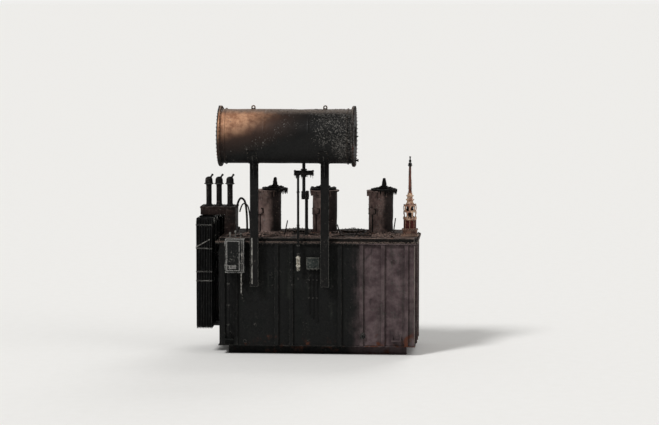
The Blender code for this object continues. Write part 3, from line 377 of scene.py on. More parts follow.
# Each finish: its dark and light colours and the scale of their clouds; then its least and most roughness,
# metallic, bump, bump depth and, where it isn't the usual one, gloss; then its layers from the inside out,
# as kind, tint, amount and scale.
FINISHES = {
    # Legs, pipes and small steelwork
    "sooted_steel": (
        ("0b0c0c", "191817", 5.0), (0.45, 0.8, 0.1, 0.6, 0.003), ("flakes", "625e5a", 0.32, 34.0),
        ("rust", "583426", 0.26, 5.0), ("soot", "090a0a", 0.55, 3.0),
        # Edges paler below 3 m: partly wear, partly painted highlight.
        ("edges", "96948e", (3.9, 3.0, 0.42, 0.72), 0.006), ("ash", "5c4c44", 0.46, 5.0),
    ),
    "sooted_end_cover": (
        ("100e0d", "2a1e1a", 3.2), (0.45, 0.8, 0.0, 0.7, 0.004), ("rust", "522c20", 0.56, 3.4),
        ("flakes", "706a64", 0.36, 26.0), ("soot", "0a0a0a", 0.6, 1.9), ("edges", "7a726a", 0.55, 0.007),
    ),
    # Fittings that sat in the flames: black, crusted, with rusty spots
    "charred_fitting": (
        ("0a0a0a", "1c1918", 9.0), (0.55, 0.9, 0.0, 1.0, 0.006), ("rust", "543226", 0.26, 8.0),
        ("flakes", "706862", 0.36, 42.0), ("edges", "68605a", 0.42, 0.005), ("ash", "76665e", 0.42, 9.0),
    ),
    "burnt_box_paint": (
        ("130e0d", "281d1a", 4.0), (0.5, 0.85, 0.0, 0.7, 0.004), ("rust", "4c2e23", 0.3, 4.5),
        ("flakes", "6a5c54", 0.36, 28.0), ("soot", "0b0b0b", 0.46, 2.2), ("edges", "7c6c62", 0.5, 0.006),
        ("ash", "6c5a50", 0.5, 4.0),
    ),
    # Thin pressed panels, black all over, with scraped edges and painted edge highlights here and there
    "sooted_panels": (
        ("090b0c", "161717", 3.0), (0.4, 0.72, 0.0, 0.5, 0.003, 0.3), ("rust", "482e24", 0.22, 3.2),
        ("soot", "080909", 0.6, 1.6), ("edges", "70706c", 0.36, 0.005), ("ash", "5c544e", 0.5, 4.0),
    ),
    # Straps and bars that were rubbed bright through the soot
    "scraped_bar": (
        ("5c5a56", "acaaa4", 14.0), (0.35, 0.7, 0.55, 0.5, 0.002), ("soot", "161615", 0.46, 7.0),
        ("rust", "7c4224", 0.3, 9.0),
    ),
    "strap_paint": (
        ("282827", "686662", 9.0), (0.38, 0.7, 0.3, 0.5, 0.002), ("soot", "121212", 0.56, 5.0),
        ("edges", "bebcb6", 0.9, 0.006),
    ),
    # The control cabinet: black with its edges pale, partly burnt and partly painted highlight, most near its
    # top
    "cabinet_paint": (
        ("0b0d0d", "1a1b1a", 4.0), (0.4, 0.75, 0.0, 0.7, 0.004), ("flakes", "92908a", 0.34, 30.0),
        ("rust", "583626", 0.24, 4.0), ("soot", "090a0a", 0.44, 2.0),
        ("edges", "e2e0db", (3.05, 3.25, 0.66, 1.0), 0.01), ("ash", "bebab2", 0.66, 7.0),
    ),
    "smoked_lining": (
        ("5c584e", "969080", 3.0), (0.45, 0.75, 0.0, 0.4, 0.002), ("soot", "1e1b18", 0.62, 3.4),
        ("edges", "a09a8e", 0.6, 0.006),
    ),
    "terminal_box_paint": (
        ("191d1c", "2e3331", 6.0), (0.42, 0.75, 0.0, 0.6, 0.003), ("flakes", "82827a", 0.45, 30.0),
        ("soot", "0f1110", 0.36, 4.0), ("edges", "96948c", 0.8, 0.008),
    ),
    "burnt_bolt_steel": (
        ("181614", "3a322d", 30.0), (0.45, 0.8, 0.45, 0.5, 0.001), ("rust", "643e2c", 0.36, 26.0),
        ("edges", "968e86", 0.55, 0.002),
    ),
    "weld_metal": (
        ("0e0e0e", "22201e", 40.0), (0.45, 0.78, 0.3, 0.6, 0.002), ("rust", "543426", 0.28, 12.0),
    ),
    "curled_paint": (
        ("222221", "74716c", 34.0), (0.6, 0.9, 0.0, 0.5, 0.001), ("soot", "0e0e0e", 0.44, 9.0),
    ),
    # Brown and cream porcelain, crazed, with smoke in its cracks
    "smoked_porcelain": (
        ("844e38", "d8b898", 9.0), (0.28, 0.62, 0.0, 0.6, 0.003, 0.5), ("flakes", "ecdec8", 0.62, 30.0),
        ("rust", "b05c30", 0.5, 9.0), ("soot", "34221c", 0.42, 7.0),
    ),
    "stained_stem": (
        ("582e26", "8c5846", 12.0), (0.38, 0.72, 0.0, 0.7, 0.003), ("flakes", "be9e8a", 0.4, 44.0),
        ("soot", "281e1c", 0.5, 9.0),
    ),
    "maroon_can": (
        ("361614", "58241e", 10.0), (0.4, 0.7, 0.1, 0.6, 0.003), ("soot", "1a1211", 0.42, 7.0),
        ("edges", "ceb094", 0.95, 0.008), ("ash", "ceb49c", 0.65, 12.0),
    ),
    "stained_seat": (
        ("48322b", "886a5c", 8.0), (0.45, 0.78, 0.1, 0.6, 0.003), ("rust", "7c4c36", 0.36, 7.0),
        ("soot", "1e1816", 0.42, 5.0), ("edges", "d6bea6", 0.85, 0.008), ("ash", "d8c0a8", 0.62, 9.0),
    ),
    # Broken bits on the cover: pink-brown ash, rust and pale porcelain chips
    "rubble": (
        ("302825", "927c72", 16.0), (0.7, 0.95, 0.0, 0.8, 0.004), ("rust", "704a38", 0.32, 7.0),
        ("soot", "181615", 0.44, 4.0), ("ash", "c4b2a6", 0.5, 9.0),
    ),
    "smoked_enamel": (
        ("a8a294", "dedace", 14.0), (0.35, 0.6, 0.0, 0.4, 0.002), ("soot", "463e36", 0.34, 9.0),
        ("edges", "787066", 0.5, 0.004),
    ),
    "charred_insulation": (
        ("141313", "302c2a", 30.0), (0.6, 0.9, 0.0, 0.9, 0.002), ("ash", "968c84", 0.5, 24.0),
    ),
    "bared_copper": (
        ("603424", "aa603e", 40.0), (0.32, 0.6, 0.8, 0.4, 0.001), ("soot", "1e1816", 0.42, 18.0),
    ),
}


def plain_finishes():
    for name, (base, gloss, *layers) in FINISHES.items():
        made = Surface(name, *base)
        for layer in layers:
            made.layer(*layer)
        made.done(*gloss)


def tank_paint():
    """Soot-black paint on the left of the tank; the grey brown on its right is painted firelight, lighter
    still on the faces turned to the right.
    """
    made = Surface("tank_paint", "080b0a", "151715", 2.5)
    tree = made.tree
    # Painted firelight: the right of the tank turns grey brown.
    right = made.spread(plus(tree, made.place("X"), made.grain(1.2)), 1.25, 2.05)
    made.over(right, made.tones("3e3234", "5c4f50", 0.35, 0.68, 3.4, 7.0, 0.65))
    # Painted light: on the right, the faces turned to +X are lighter still.
    facing = parts_of(tree, normal_of(tree))[0]
    firelit_side_tones = made.tones("504642", "807368", 0.36, 0.64, 2.6, 7.0, 0.68, away=9.0)
    made.over(times(tree, made.spread(facing, 0.6, 0.9), right), firelit_side_tones)
    streaks = made.grain(2.4, 5.0, 0.6, 0.1, (3.0, 3.0, 0.16), 33.0)
    made.over(made.spread(streaks, 0.50, 0.72, 0.0, 0.6), "2e2f2b")
    made.layer("flakes", "585652", 0.34, 26.0)
    made.layer("rust", "5c3626", (1.1, 0.25, 0.22, 0.56), 2.2)
    # Less soot on the right, as part of the painted firelight.
    made.layer("soot", "090b0b", minus(tree, 0.58, times(tree, right, 0.22)), 1.3)
    made.layer("edges", "605d58", 0.45, 0.008)
    made.layer("ash", "54463e", 0.50, 3.0)
    bulges = times(tree, made.grain(1.1, 2.0, 0.45), 5.0)
    made.height = plus(tree, made.height, bulges)
    made.done(0.42, 0.82, 0.0, 0.75, 0.006)


def shell_paint():
    """The conservator: tan on the upper left, partly where the fire took the paint off and partly painted
    highlight, a painted highlight along its top, darker towards the bottom and to the right, and grey flaking
    paint at the right end."""
    made = Surface("shell_paint", "090a0a", "141312", 2.0)
    tree = made.tree
    shift = times(tree, minus(tree, made.grain(2.1, 7.0, 0.62, 0.5), 0.5), 0.9)
    height = plus(tree, made.place("Z"), times(tree, shift, 0.55))
    place = plus(tree, made.place("X"), shift)
    # The brown and tan overlays on the upper left are partly paint burnt off and partly a painted highlight.
    slanted = minus(tree, height, times(tree, place, 0.27))
    scorched_and_lit = made.spread(slanted, AXIS_Z - 0.05, AXIS_Z + 0.90)
    made.over(times(tree, scorched_and_lit, made.spread(place, 0.1, -1.6)), "3a2922")
    bare = times(tree, made.spread(slanted, AXIS_Z + 0.48, AXIS_Z + 1.14), made.spread(place, -0.75, -2.15))
    made.over(bare, made.tones("8a5f47", "d4a380", 0.32, 0.70, 5.0, 8.0, 0.68))
    # A grey-tan band along the top of the shell: painted highlight.
    crest = made.spread(plus(tree, made.place("Z"), times(tree, shift, 0.12)), AXIS_Z + 0.60, AXIS_Z + 0.74)
    made.over(times(tree, crest, 0.85), made.tones("3a312c", "7e6f63", 0.30, 0.72, 21.0, 9.0, 0.74))
    end = made.spread(place, -0.35, 0.75)
    made.layer("flakes", "86837e", plus(tree, times(tree, end, 0.66), 0.20), 38.0)
    made.layer("rust", "68422e", 0.12, 3.0)
    # The soot amount grows towards the bottom, so the shell is darker below.
    sooted = plus(tree, times(tree, made.spread(made.place("Z"), AXIS_Z + 0.50, AXIS_Z - 0.70), 0.80), 0.12)
    flaked = times(tree, made.spread(place, 0.15, 0.80), 0.34)
    bared_and_lit = times(tree, made.spread(place, -0.7, -1.9), 0.52)
    made.layer("soot", "080909", minus(tree, minus(tree, sooted, flaked), bared_and_lit), 1.7)
    made.layer("edges", "705c50", 0.50, 0.008)
    made.done(0.38, 0.72, 0.0, 0.7, 0.005, 0.15)


def ashen_steel():
    """Steel that burnt bare and took a skin of pink-brown ash, with painted shade in black on its side turned
    to +X.
    """
    made = Surface("ashen_turret", "685450", "ac948c", 3.2)
    tree = made.tree
    side = parts_of(tree, normal_of(tree))[0]
    shaded_side = made.spread(plus(tree, side, made.grain(3.0, 6.0, 0.6)), 0.42, 1.0)
    made.layer("ash", "b8a69e", 0.60, 4.2)
    made.layer("flakes", "baaca4", 0.48, 22.0)
    made.layer("rust", "704838", 0.30, 3.6)
    # Painted shade: the side turned to +X goes near black.
    made.over(times(tree, shaded_side, 0.92), "0f0d0d")
    made.layer("soot", "100f0f", 0.40, 2.4)
    made.layer("edges", "968476", 0.50, 0.010)
    made.done(0.60, 0.92, 0.0, 0.9, 0.006)


def cover_paint():
    """The cover: rust, ash and burnt oil baked on it."""
    made = Surface("ashen_cover", "241e1c", "56463e", 2.6)
    made.layer("rust", "784c36", 0.46, 1.9)
    made.layer("ash", "a08a7e", 0.66, 2.4)
    made.layer("soot", "0c0c0c", 0.54, 1.1)
    up = parts_of(made.tree, normal_of(made.tree))[2]
    made.over(made.spread(up, 0.75, 0.25, 0.0, 0.85), "0e0e0d")
    # Pale edges: partly worn, partly a painted highlight along the cover's lips.
    made.layer("edges", "b29c90", 0.62, 0.012)
    made.done(0.60, 0.92, 0.0, 1.0, 0.008)


def drying_beads():
    made = Surface("drying_beads", "968c76", "e0d6be", 60.0)
    tree = made.tree
    made.layer("soot", "544230", 0.30, 12.0)
    cells = put(tree, "ShaderNodeTexVoronoi", {"Vector": made.position, "Scale": 240.0}).outputs["Distance"]
    made.height = minus(tree, made.height, times(tree, cells, 2.0))
    made.done(0.45, 0.75, 0.0, 0.8, 0.002)


def smoked_glass():
    made = bpy.data.materials.new("smoked_glass")
    made.use_nodes = True
    tree = made.node_tree
    film = grain(tree, put(tree, "ShaderNodeTexCoord").outputs["Object"], 30.0, 5.0)
    for label, value in (
        ("Base Color", mix(tree, spread(tree, film, 0.3, 0.7), "968e7e", "e2ded2")),
        ("Roughness", spread(tree, film, 0.3, 0.7, 0.08, 0.35)),
        ("Metallic", 0.0),
        ("Transmission Weight", 0.75),
        ("IOR", 1.46),
    ):
        feed(tree, tree.nodes["Principled BSDF"].inputs[label], value)


for finish in (plain_finishes, tank_paint, shell_paint, ashen_steel, cover_paint, drying_beads, smoked_glass):
    finish()


# ---------------------------------------------------------------- shape toolkit


def circle(count, radius, turn=0.0):
    """Points round a circle in the XY plane."""
    angles = [2 * math.pi * (step + turn) / count for step in range(count)]
    return [(radius * math.sin(angle), -radius * math.cos(angle)) for angle in angles]


def disc(*steps, ease=0.002):
    """The profile of stacked discs with eased rims, from (radius, thickness) steps read upwards."""
    points = [(0, 0)]
    height = 0
    for radius, thickness in steps:
        top = height + thickness
        rim = min(ease, thickness * 0.4, radius * 0.4)
        points += [(radius - rim, height), (radius, height + rim), (radius, top - rim), (radius - rim, top)]
        height = top
    points.append((0, height))
    return points


def bent(corners, radius, steps=8):
    """A route through the corners with each inner corner rounded."""
    points = [Vector(corners[0])]
    for before, corner, after in zip(corners, corners[1:], corners[2:]):
        corner = Vector(corner)
        back = (Vector(before) - corner).normalized()
        ahead = (Vector(after) - corner).normalized()
        half_turn = (math.pi - back.angle(ahead)) / 2
        reach = radius * math.tan(half_turn)
        centre = corner + (back + ahead).normalized() * (radius / math.cos(half_turn))
        start = corner + back * reach - centre
        end = corner + ahead * reach - centre
        axis = start.cross(end).normalized()
        for step in range(steps + 1):
            points.append(centre + Matrix.Rotation(start.angle(end) * step / steps, 3, axis) @ start)
    points.append(Vector(corners[-1]))
    return points


def curve_through(points, steps):
    """A smooth line of points through the given ones."""
    points = [Vector(point) for point in points]
    ends = [points[0] * 2 - points[1], *points, points[-1] * 2 - points[-2]]
    line = []
    for a, b, c, d in zip(ends, ends[1:], ends[2:], ends[3:]):
        for t in (step / steps for step in range(steps)):
            cubic = (2 * a - 5 * b + 4 * c - d) * t**2 + (3 * b - a - 3 * c + d) * t**3
            line.append(0.5 * ((2 * b) + (c - a) * t + cubic))
    line.append(points[-1])
    return line


def joined_rings(part, rings):
    """Faces from each ring of corners to the next."""
    for lower, upper in zip(rings, rings[1:]):
        for step in range(len(lower)):
            after = (step + 1) % len(lower)
            corners = (lower[step], lower[after], upper[after], upper[step])
            part.faces.new(list(dict.fromkeys(corners)))


class Shape:
    """Closed shapes gathered into one piece."""

    def __init__(self):
        self.work = bmesh.new()

    def take(self, other, place=None):
        """Adds a finished bmesh, moved to its place."""
        if place is not None:
            bmesh.ops.transform(other, matrix=place, verts=other.verts)
        bmesh.ops.recalc_face_normals(other, faces=other.faces)
        kept = bpy.data.meshes.new("part")
        other.to_mesh(kept)
        other.free()
        self.work.from_mesh(kept)
        bpy.data.meshes.remove(kept)

    def box(self, first, second, edge=0.003, place=None):
        """A box with eased edges between two opposite corners."""
        low, high = Vector(map(min, first, second)), Vector(map(max, first, second))
        size = high - low
        part = bmesh.new()
        bmesh.ops.create_cube(part, size=1.0, matrix=at(*(low + high) / 2) @ Matrix.Diagonal((*size, 1.0)))
        width = min(edge, min(size) * 0.3)
        bmesh.ops.bevel(part, geom=part.edges[:], offset=width, segments=2, profile=0.7, affect="EDGES")
        self.take(part, place)

    def lathe(self, profile, sides, place, closed=False, warp=Vector):
        """A profile of (radius, height) turned round Z; warp moves each point of it."""
        part = bmesh.new()
        rings = []
        for (radius, height), before in zip(profile, [None, *profile]):
            if (radius, height) != before:
                spots = circle(sides, radius) if radius > 0 else [(0, 0)]
                ring = [part.verts.new(warp(Vector((x, y, height)))) for x, y in spots]
                rings.append(ring if radius > 0 else ring * sides)
        joined_rings(part, [*rings, rings[0]] if closed else rings)
        self.take(part, place)

    def discs(self, place, sides, *steps, ease=0.002):
        """Stacked discs along the place's Z."""
        self.lathe(disc(*steps, ease=ease), sides, place)

    def tube(self, points, radius, sides):
        """A round bar along the points."""
        points = [Vector(point) for point in points]
        part = bmesh.new()
        rings = []
        side = (points[1] - points[0]).orthogonal().normalized()
        for before, point, after in zip([points[0], *points], points, [*points[1:], points[-1]]):
            heading = (after - before).normalized()
            side = (side - heading * side.dot(heading)).normalized()
            up = heading.cross(side)
            turns = [2 * math.pi * step / sides for step in range(sides)]
            ring = [point + (side * math.cos(turn) + up * math.sin(turn)) * radius for turn in turns]
            rings.append([part.verts.new(spot) for spot in ring])
        joined_rings(part, rings)
        part.faces.new(rings[0][::-1])
        part.faces.new(rings[-1])
        self.take(part)

    def handle(self, place, half, low, high, bend):
        """A bent bar that stands on a place and runs along its X."""
        corners = [(-half, 0, low), (-half, 0, high), (half, 0, high), (half, 0, low)]
        self.tube([place @ point for point in bent(corners, bend)], 0.008, 12)

    def hand_wheel(self, place, sides, radius, rim, spokes):
        """A ring of round bar with flat bars across it."""
        turns = [step * math.pi / 4 for step in range(8)]
        section = [(radius + rim * math.cos(turn), rim * math.sin(turn)) for turn in turns]
        self.lathe(section, sides, place, closed=True)
        half = Vector((radius, rim - 0.002, rim - 0.003))
        for number in range(spokes):
            self.box(-half, half, 0.001, place @ turned(180 * number / spokes))

    def mesh(self, name):
        made = bpy.data.meshes.new(name)
        self.work.to_mesh(made)
        self.work.free()
        return made

    def piece(self, name, finish, slot, *replaced, body=MAIN_BODY, angle=40):
        """Ends the gathering: the piece goes in the scene, finished and riding on its body."""
        mesh = self.mesh(name)
        mesh.materials.append(bpy.data.materials[finish])
        dress(mesh, name, slot, *replaced, body=body, angle=angle)


def dress(mesh, name, slot, *replaced, body=MAIN_BODY, angle=40):
    """Puts a mesh in the scene; edges sharper than the angle stay sharp."""
    mesh.shade_smooth()
    mesh.set_sharp_from_angle(angle=math.radians(angle))
    placed = bpy.data.objects.new(name, mesh)
    bpy.context.scene.collection.objects.link(placed)
    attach(placed, body)
    if replaced:
        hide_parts(*replaced)


def ring_spots(place, count, radius, height=0.0, turn=0.0, axis=UP):
    """Bolt spots round a place's Z, on the plane at a height."""
    axis = place.to_3x3() @ Vector(axis)
    return [(place @ Vector((x, y, height)), axis) for x, y in circle(count, radius, turn)]


def rippled(place, detail=3):
    return noise.fractal(Vector(place), 1.0, 2.0, detail)


def scaled(point, factor):
    """A point moved out from the Z axis or in to it."""
    return Vector((point.x * factor, point.y * factor, point.z))


def dent(place, scale, depth):
    """How far the heat pushed the sheet in at a place."""
    return depth * max(0.0, rippled(Vector(place) * scale) + 0.3) ** 2


# ---------------------------------------------------------------- geometry node trees


def grower(recipe, **inputs):
    """A geometry node tree that ends with its instances made real and its material set."""
    geometry, kinds = {"Geometry": ("Geometry", None)}, {int: "Int", float: "Float", tuple: "Vector"}
    sockets = {label: (kinds[type(value)], value) for label, value in inputs.items()}
    sockets = geometry | sockets | {"Material": ("Material", None)}
    tree, given, out = new_tree(recipe.__name__, "GeometryNodeTree", sockets, geometry)
    real = put(tree, "GeometryNodeRealizeInstances", {"Geometry": recipe(tree, given)}).outputs[0]
    finished = put(tree, "GeometryNodeSetMaterial", {"Geometry": real, "Material": given["Material"]})
    feed(tree, out["Geometry"], finished.outputs[0])
    return tree


def along_axes(tree, **parts):
    return put(tree, "ShaderNodeCombineXYZ", parts).outputs[0]


def chance(tree, low, high, seed):
    """A random number between two ends for each point, or a vector where the ends are vectors."""
    kind = "FLOAT_VECTOR" if isinstance(high, tuple) else "FLOAT"
    inputs = {"Min": low, "Max": high, "Seed": seed}
    return put(tree, "FunctionNodeRandomValue", inputs, data_type=kind).outputs["Value"]


def instances(tree, points, shape, **settings):
    inputs = {"Points": points, "Instance": shape, **settings}
    return put(tree, "GeometryNodeInstanceOnPoints", inputs).outputs[0]


def spun(tree, placed, turn):
    return put(tree, "GeometryNodeRotateInstances", {"Instances": placed, "Rotation": turn}).outputs[0]


def moved(tree, geometry, shift):
    return put(tree, "GeometryNodeSetPosition", {"Geometry": geometry, "Offset": shift}).outputs[0]


def scattered(tree, given):
    """Random points on a surface."""
    inputs = {"Mesh": given["Geometry"], "Density": given["Density"], "Seed": given["Seed"]}
    return put(tree, "GeometryNodeDistributePointsOnFaces", inputs).outputs


def hexagon_bolts(tree, given):
    """A hexagon head on a washer with the end of its stud, at each point, along the point's axis."""
    head, height = given["Head"], given["Height"]
    joined = tree.nodes.new("GeometryNodeJoinGeometry")
    for corners, radius, depth, level in (
        (6, head, height, 0.65),
        (12, given["Washer"], times(tree, height, 0.25), 0.1),
        (8, times(tree, head, 0.5), times(tree, height, 1.5), 0.75),
    ):
        inputs = {"Vertices": corners, "Radius": radius, "Depth": depth}
        bar = put(tree, "GeometryNodeMeshCylinder", inputs).outputs["Mesh"]
        inputs = {"Geometry": bar, "Translation": along_axes(tree, Z=times(tree, height, level))}
        feed(tree, joined.inputs[0], put(tree, "GeometryNodeTransform", inputs).outputs[0])
    axis = put(tree, "GeometryNodeInputNamedAttribute", {"Name": "axis"}, data_type="FLOAT_VECTOR").outputs[0]
    aligned = put(tree, "FunctionNodeAlignRotationToVector", {"Vector": axis}, axis="Z").outputs[0]
    placed = instances(tree, given["Geometry"], joined.outputs[0], Rotation=aligned)
    return spun(tree, placed, along_axes(tree, Z=chance(tree, 0.0, 3.14, 4)))


def row(tree, given):
    """A shape repeated along a straight line."""
    line = put(tree, "GeometryNodeMeshLine", {"Count": given["Count"], "Offset": given["Step"]}).outputs[0]
    return instances(tree, line, given["Geometry"])


def weld_beads(tree, given):
    """A rippled weld bead along each edge."""
    line = put(tree, "GeometryNodeMeshToCurve", {"Mesh": given["Geometry"]}).outputs[0]
    inputs = {"Curve": line, "Length": given["Ripple"]}
    line = put(tree, "GeometryNodeResampleCurve", inputs, mode="LENGTH").outputs[0]
    width = times(tree, given["Radius"], chance(tree, 0.75, 1.2, 9))
    line = put(tree, "GeometryNodeSetCurveRadius", {"Curve": line, "Radius": width}).outputs[0]
    inputs = {"Resolution": 6, "Radius": 1.0}
    section = put(tree, "GeometryNodeCurvePrimitiveCircle", inputs).outputs["Curve"]
    inputs = {"Curve": line, "Profile Curve": section, "Fill Caps": True}
    made = put(tree, "GeometryNodeCurveToMesh", inputs)
    if "Scale" in made.inputs:  # where it is there, it takes the place of the line's own radius
        feed(tree, made.inputs["Scale"], width)
    return made.outputs[0]


def broken_lumps(tree, given):
    """Broken lumps scattered over a surface, each one of four."""
    inputs = {"Radius": given["Lump"], "Subdivisions": given["Detail"]}
    ball = put(tree, "GeometryNodeMeshIcoSphere", inputs).outputs["Mesh"]
    lumps = tree.nodes.new("GeometryNodeGeometryToInstance")
    for shift in (0.0, 3.1, 7.7, 12.9):
        place = tree.nodes.new("GeometryNodeInputPosition").outputs[0]
        place = vector_math(tree, "ADD", {0: place, 1: (shift, shift, 0.0)})[0]
        inputs = {"Vector": place, "Scale": 24.0, "Detail": 2.0}
        rough = put(tree, "ShaderNodeTexNoise", inputs).outputs["Color"]
        centred = vector_math(tree, "SUBTRACT", {0: rough, 1: (0.5, 0.5, 0.5)})[0]
        push = vector_math(tree, "SCALE", {0: centred, 3: times(tree, given["Lump"], 1.9)})[0]
        feed(tree, lumps.inputs[0], moved(tree, ball, push))
    size = chance(tree, given["Smallest"], given["Largest"], 3)
    settings = {"Pick Instance": True, "Rotation": chance(tree, (0.0, 0.0, 0.0), (6.28, 6.28, 6.28), 5)}
    settings["Scale"] = along_axes(tree, X=size, Y=size, Z=times(tree, size, given["Flatness"]))
    return instances(tree, scattered(tree, given)["Points"], lumps.outputs[0], **settings)


def paint_curls(tree, given):
    """Curled scales of paint that stand on a surface."""
    spots = scattered(tree, given)
    size = given["Size"]
    inputs = {"Size": along_axes(tree, X=size, Y=size, Z=0.0012), "Vertices X": 4, "Vertices Y": 3}
    plate = put(tree, "GeometryNodeMeshCube", inputs).outputs["Mesh"]
    along = parts_of(tree, tree.nodes.new("GeometryNodeInputPosition").outputs[0])[0]
    share = math_node(tree, "DIVIDE", along, size)
    curl = times(tree, times(tree, share, share), size)
    curled = moved(tree, plate, along_axes(tree, Z=times(tree, curl, 1.6)))
    stretch = chance(tree, (0.4, 0.5, 0.5), (1.4, 1.9, 1.5), 12)
    placed = instances(tree, spots["Points"], curled, Rotation=spots["Rotation"], Scale=stretch)
    return spun(tree, placed, chance(tree, (-0.25, -0.25, 0.0), (0.25, 0.25, 6.28), 5))


def hanging_drips(tree, given):
    """Runs of melted metal that hang from each point."""
    inputs = {"Vertices": 8, "Side Segments": 4, "Radius Top": times(tree, given["Thickness"], 0.3)}
    inputs |= {"Radius Bottom": given["Thickness"], "Depth": given["Length"]}
    cone = put(tree, "GeometryNodeMeshCone", inputs).outputs["Mesh"]
    hung = put(tree, "GeometryNodeTransform", {"Geometry": cone, "Rotation": (math.pi, 0.0, 0.0)}).outputs[0]
    stretch = chance(tree, (0.6, 0.6, 0.15), (1.5, 1.5, 1.0), 2)
    return instances(tree, given["Geometry"], hung, Scale=stretch)


BOLTS = grower(hexagon_bolts, Head=0.018, Height=0.015, Washer=0.024)
ROW = grower(row, Count=5, Step=(0.1, 0.0, 0.0))
BEADS = grower(weld_beads, Radius=0.006, Ripple=0.03)
LUMPS = grower(
    broken_lumps, Density=60.0, Smallest=0.2, Largest=1.0, Lump=0.03, Flatness=0.6, Detail=2, Seed=1
)
DRIPS = grower(hanging_drips, Length=0.1, Thickness=0.01)
CURLS = grower(paint_curls, Density=60.0, Size=0.02, Seed=1)


def grown(mesh, tree, finish, **values):
    """Runs a geometry node tree on a mesh and gives the plain mesh that comes out."""
    holder = bpy.data.objects.new("holder", mesh)
    bpy.context.scene.collection.objects.link(holder)
    change = holder.modifiers.new("grow", "NODES")
    change.node_group = tree
    named = {item.name: item.identifier for item in tree.interface.items_tree if item.in_out == "INPUT"}
    for label, value in {"Material": bpy.data.materials[finish], **values}.items():
        change[named[label]] = value
    ready = holder.evaluated_get(bpy.context.evaluated_depsgraph_get())
    plain = bpy.data.meshes.new_from_object(ready)
    holder.modifiers.clear()
    bpy.data.objects.remove(holder)
    return plain


def plain_mesh(points, edges=(), faces=()):
    mesh = bpy.data.meshes.new("start")
    mesh.from_pydata([tuple(point) for point in points], edges, faces)
    return mesh


def bolts(name, slot, spots, head, height):
    """Bolts at (place, axis) spots."""
    mesh = plain_mesh([place for place, _ in spots])
    axes = mesh.attributes.new("axis", "FLOAT_VECTOR", "POINT")
    axes.data.foreach_set("vector", [part for _, axis in spots for part in Vector(axis).normalized()])
    made = grown(mesh, BOLTS, "burnt_bolt_steel", Head=head, Height=height, Washer=head * 1.35)
    dress(made, name, slot, angle=30)


def beads(name, slot, lines, radius=0.006, ripple=0.03):
    """Weld beads along lines of points."""
    points, edges = [], []
    for line in lines:
        first = len(points)
        points += line
        edges += [(number, number + 1) for number in range(first, len(points) - 1)]
    made = grown(plain_mesh(points, edges), BEADS, "weld_metal", Radius=radius, Ripple=ripple)
    dress(made, name, slot, angle=60)


def repeated(shape, name, finish, slot, count, step, *replaced, **settings):
    """A gathered shape repeated along a line."""
    dress(grown(shape.mesh("unit"), ROW, finish, Count=count, Step=step), name, slot, *replaced, **settings)


def rubble(name, slot, areas, density, lump, seed, finish="rubble", flatness=0.6, largest=1.0, detail=2):
    """Lumps over flat areas given as corner pairs and a level."""
    corners, faces = [], []
    for (left, front), (right, back), level in areas:
        faces.append(range(len(corners), len(corners) + 4))
        corners += [(x, y, level) for x, y in ((left, front), (right, front), (right, back), (left, back))]
    settings = {"Density": density, "Smallest": 0.15, "Largest": largest, "Lump": lump}
    settings |= {"Flatness": flatness, "Detail": detail, "Seed": seed}
    dress(grown(plain_mesh(corners, faces=faces), LUMPS, finish, **settings), name, slot, angle=50)


def drips(name, slot, points, length, thickness):
    made = grown(plain_mesh(points), DRIPS, "charred_fitting", Length=length, Thickness=thickness)
    dress(made, name, slot, angle=60)


# ---------------------------------------------------------------- conservator


def kept_nodes():
    """The CAD nodes that stay get their finishes."""
    plain = ("skid_beam_front", "skid_beam_rear", "skid_cross_beam", "tank_floor")
    painted = dict.fromkeys((*plain, *(f"tank_{name}_wall" for name, *_ in WALLS)), "tank_paint")
    painted |= {"tank_cover": "ashen_cover"}
    painted |= dict.fromkeys(("conservator_leg_left", "conservator_leg_right"), "sooted_steel")
    for name, finish in painted.items():
        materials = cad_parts[name].data.materials
        materials.clear()
        materials.append(bpy.data.materials[finish])


def shell_profile():
    """The outside of the shell as (radius, distance from its left end), and the places the heat dented."""
    lip, band = SHELL_RADIUS + 0.007, SHELL_RADIUS + 0.025
    end = [(FLANGE_RADIUS - 0.003, 0.0), (FLANGE_RADIUS, 0.003), (FLANGE_RADIUS, 0.032)]
    end += [(FLANGE_RADIUS - 0.003, 0.035), (SHELL_RADIUS + 0.010, 0.035), (SHELL_RADIUS, 0.046)]
    firm, soft = [], []
    for ring in (SHELL_BAND, SHELL_LENGTH - SHELL_BAND):
        for reach, radius in ((0.024, SHELL_RADIUS), (0.016, lip), (0.015, band - 0.002), (0.013, band)):
            firm += [(radius, ring - reach), (radius, ring + reach)]
    for seam in SHELL_SEAMS:
        for reach, radius in ((0.009, SHELL_RADIUS), (0.004, SHELL_RADIUS + 0.003)):
            soft += [(radius, seam - reach), (radius, seam + reach)]
    for along in even(SHELL_BAND + 0.03, SHELL_LENGTH - SHELL_BAND - 0.03, 69)[1:-1]:
        if min(abs(along - seam) for seam in SHELL_SEAMS) > 0.016:
            soft.append((SHELL_RADIUS, along))
    other_end = [(radius, SHELL_LENGTH - along) for radius, along in reversed(end)]
    between = sorted(firm + soft, key=lambda point: point[1])
    return [*end, *between, *other_end], {round(along, 5) for _, along in soft}


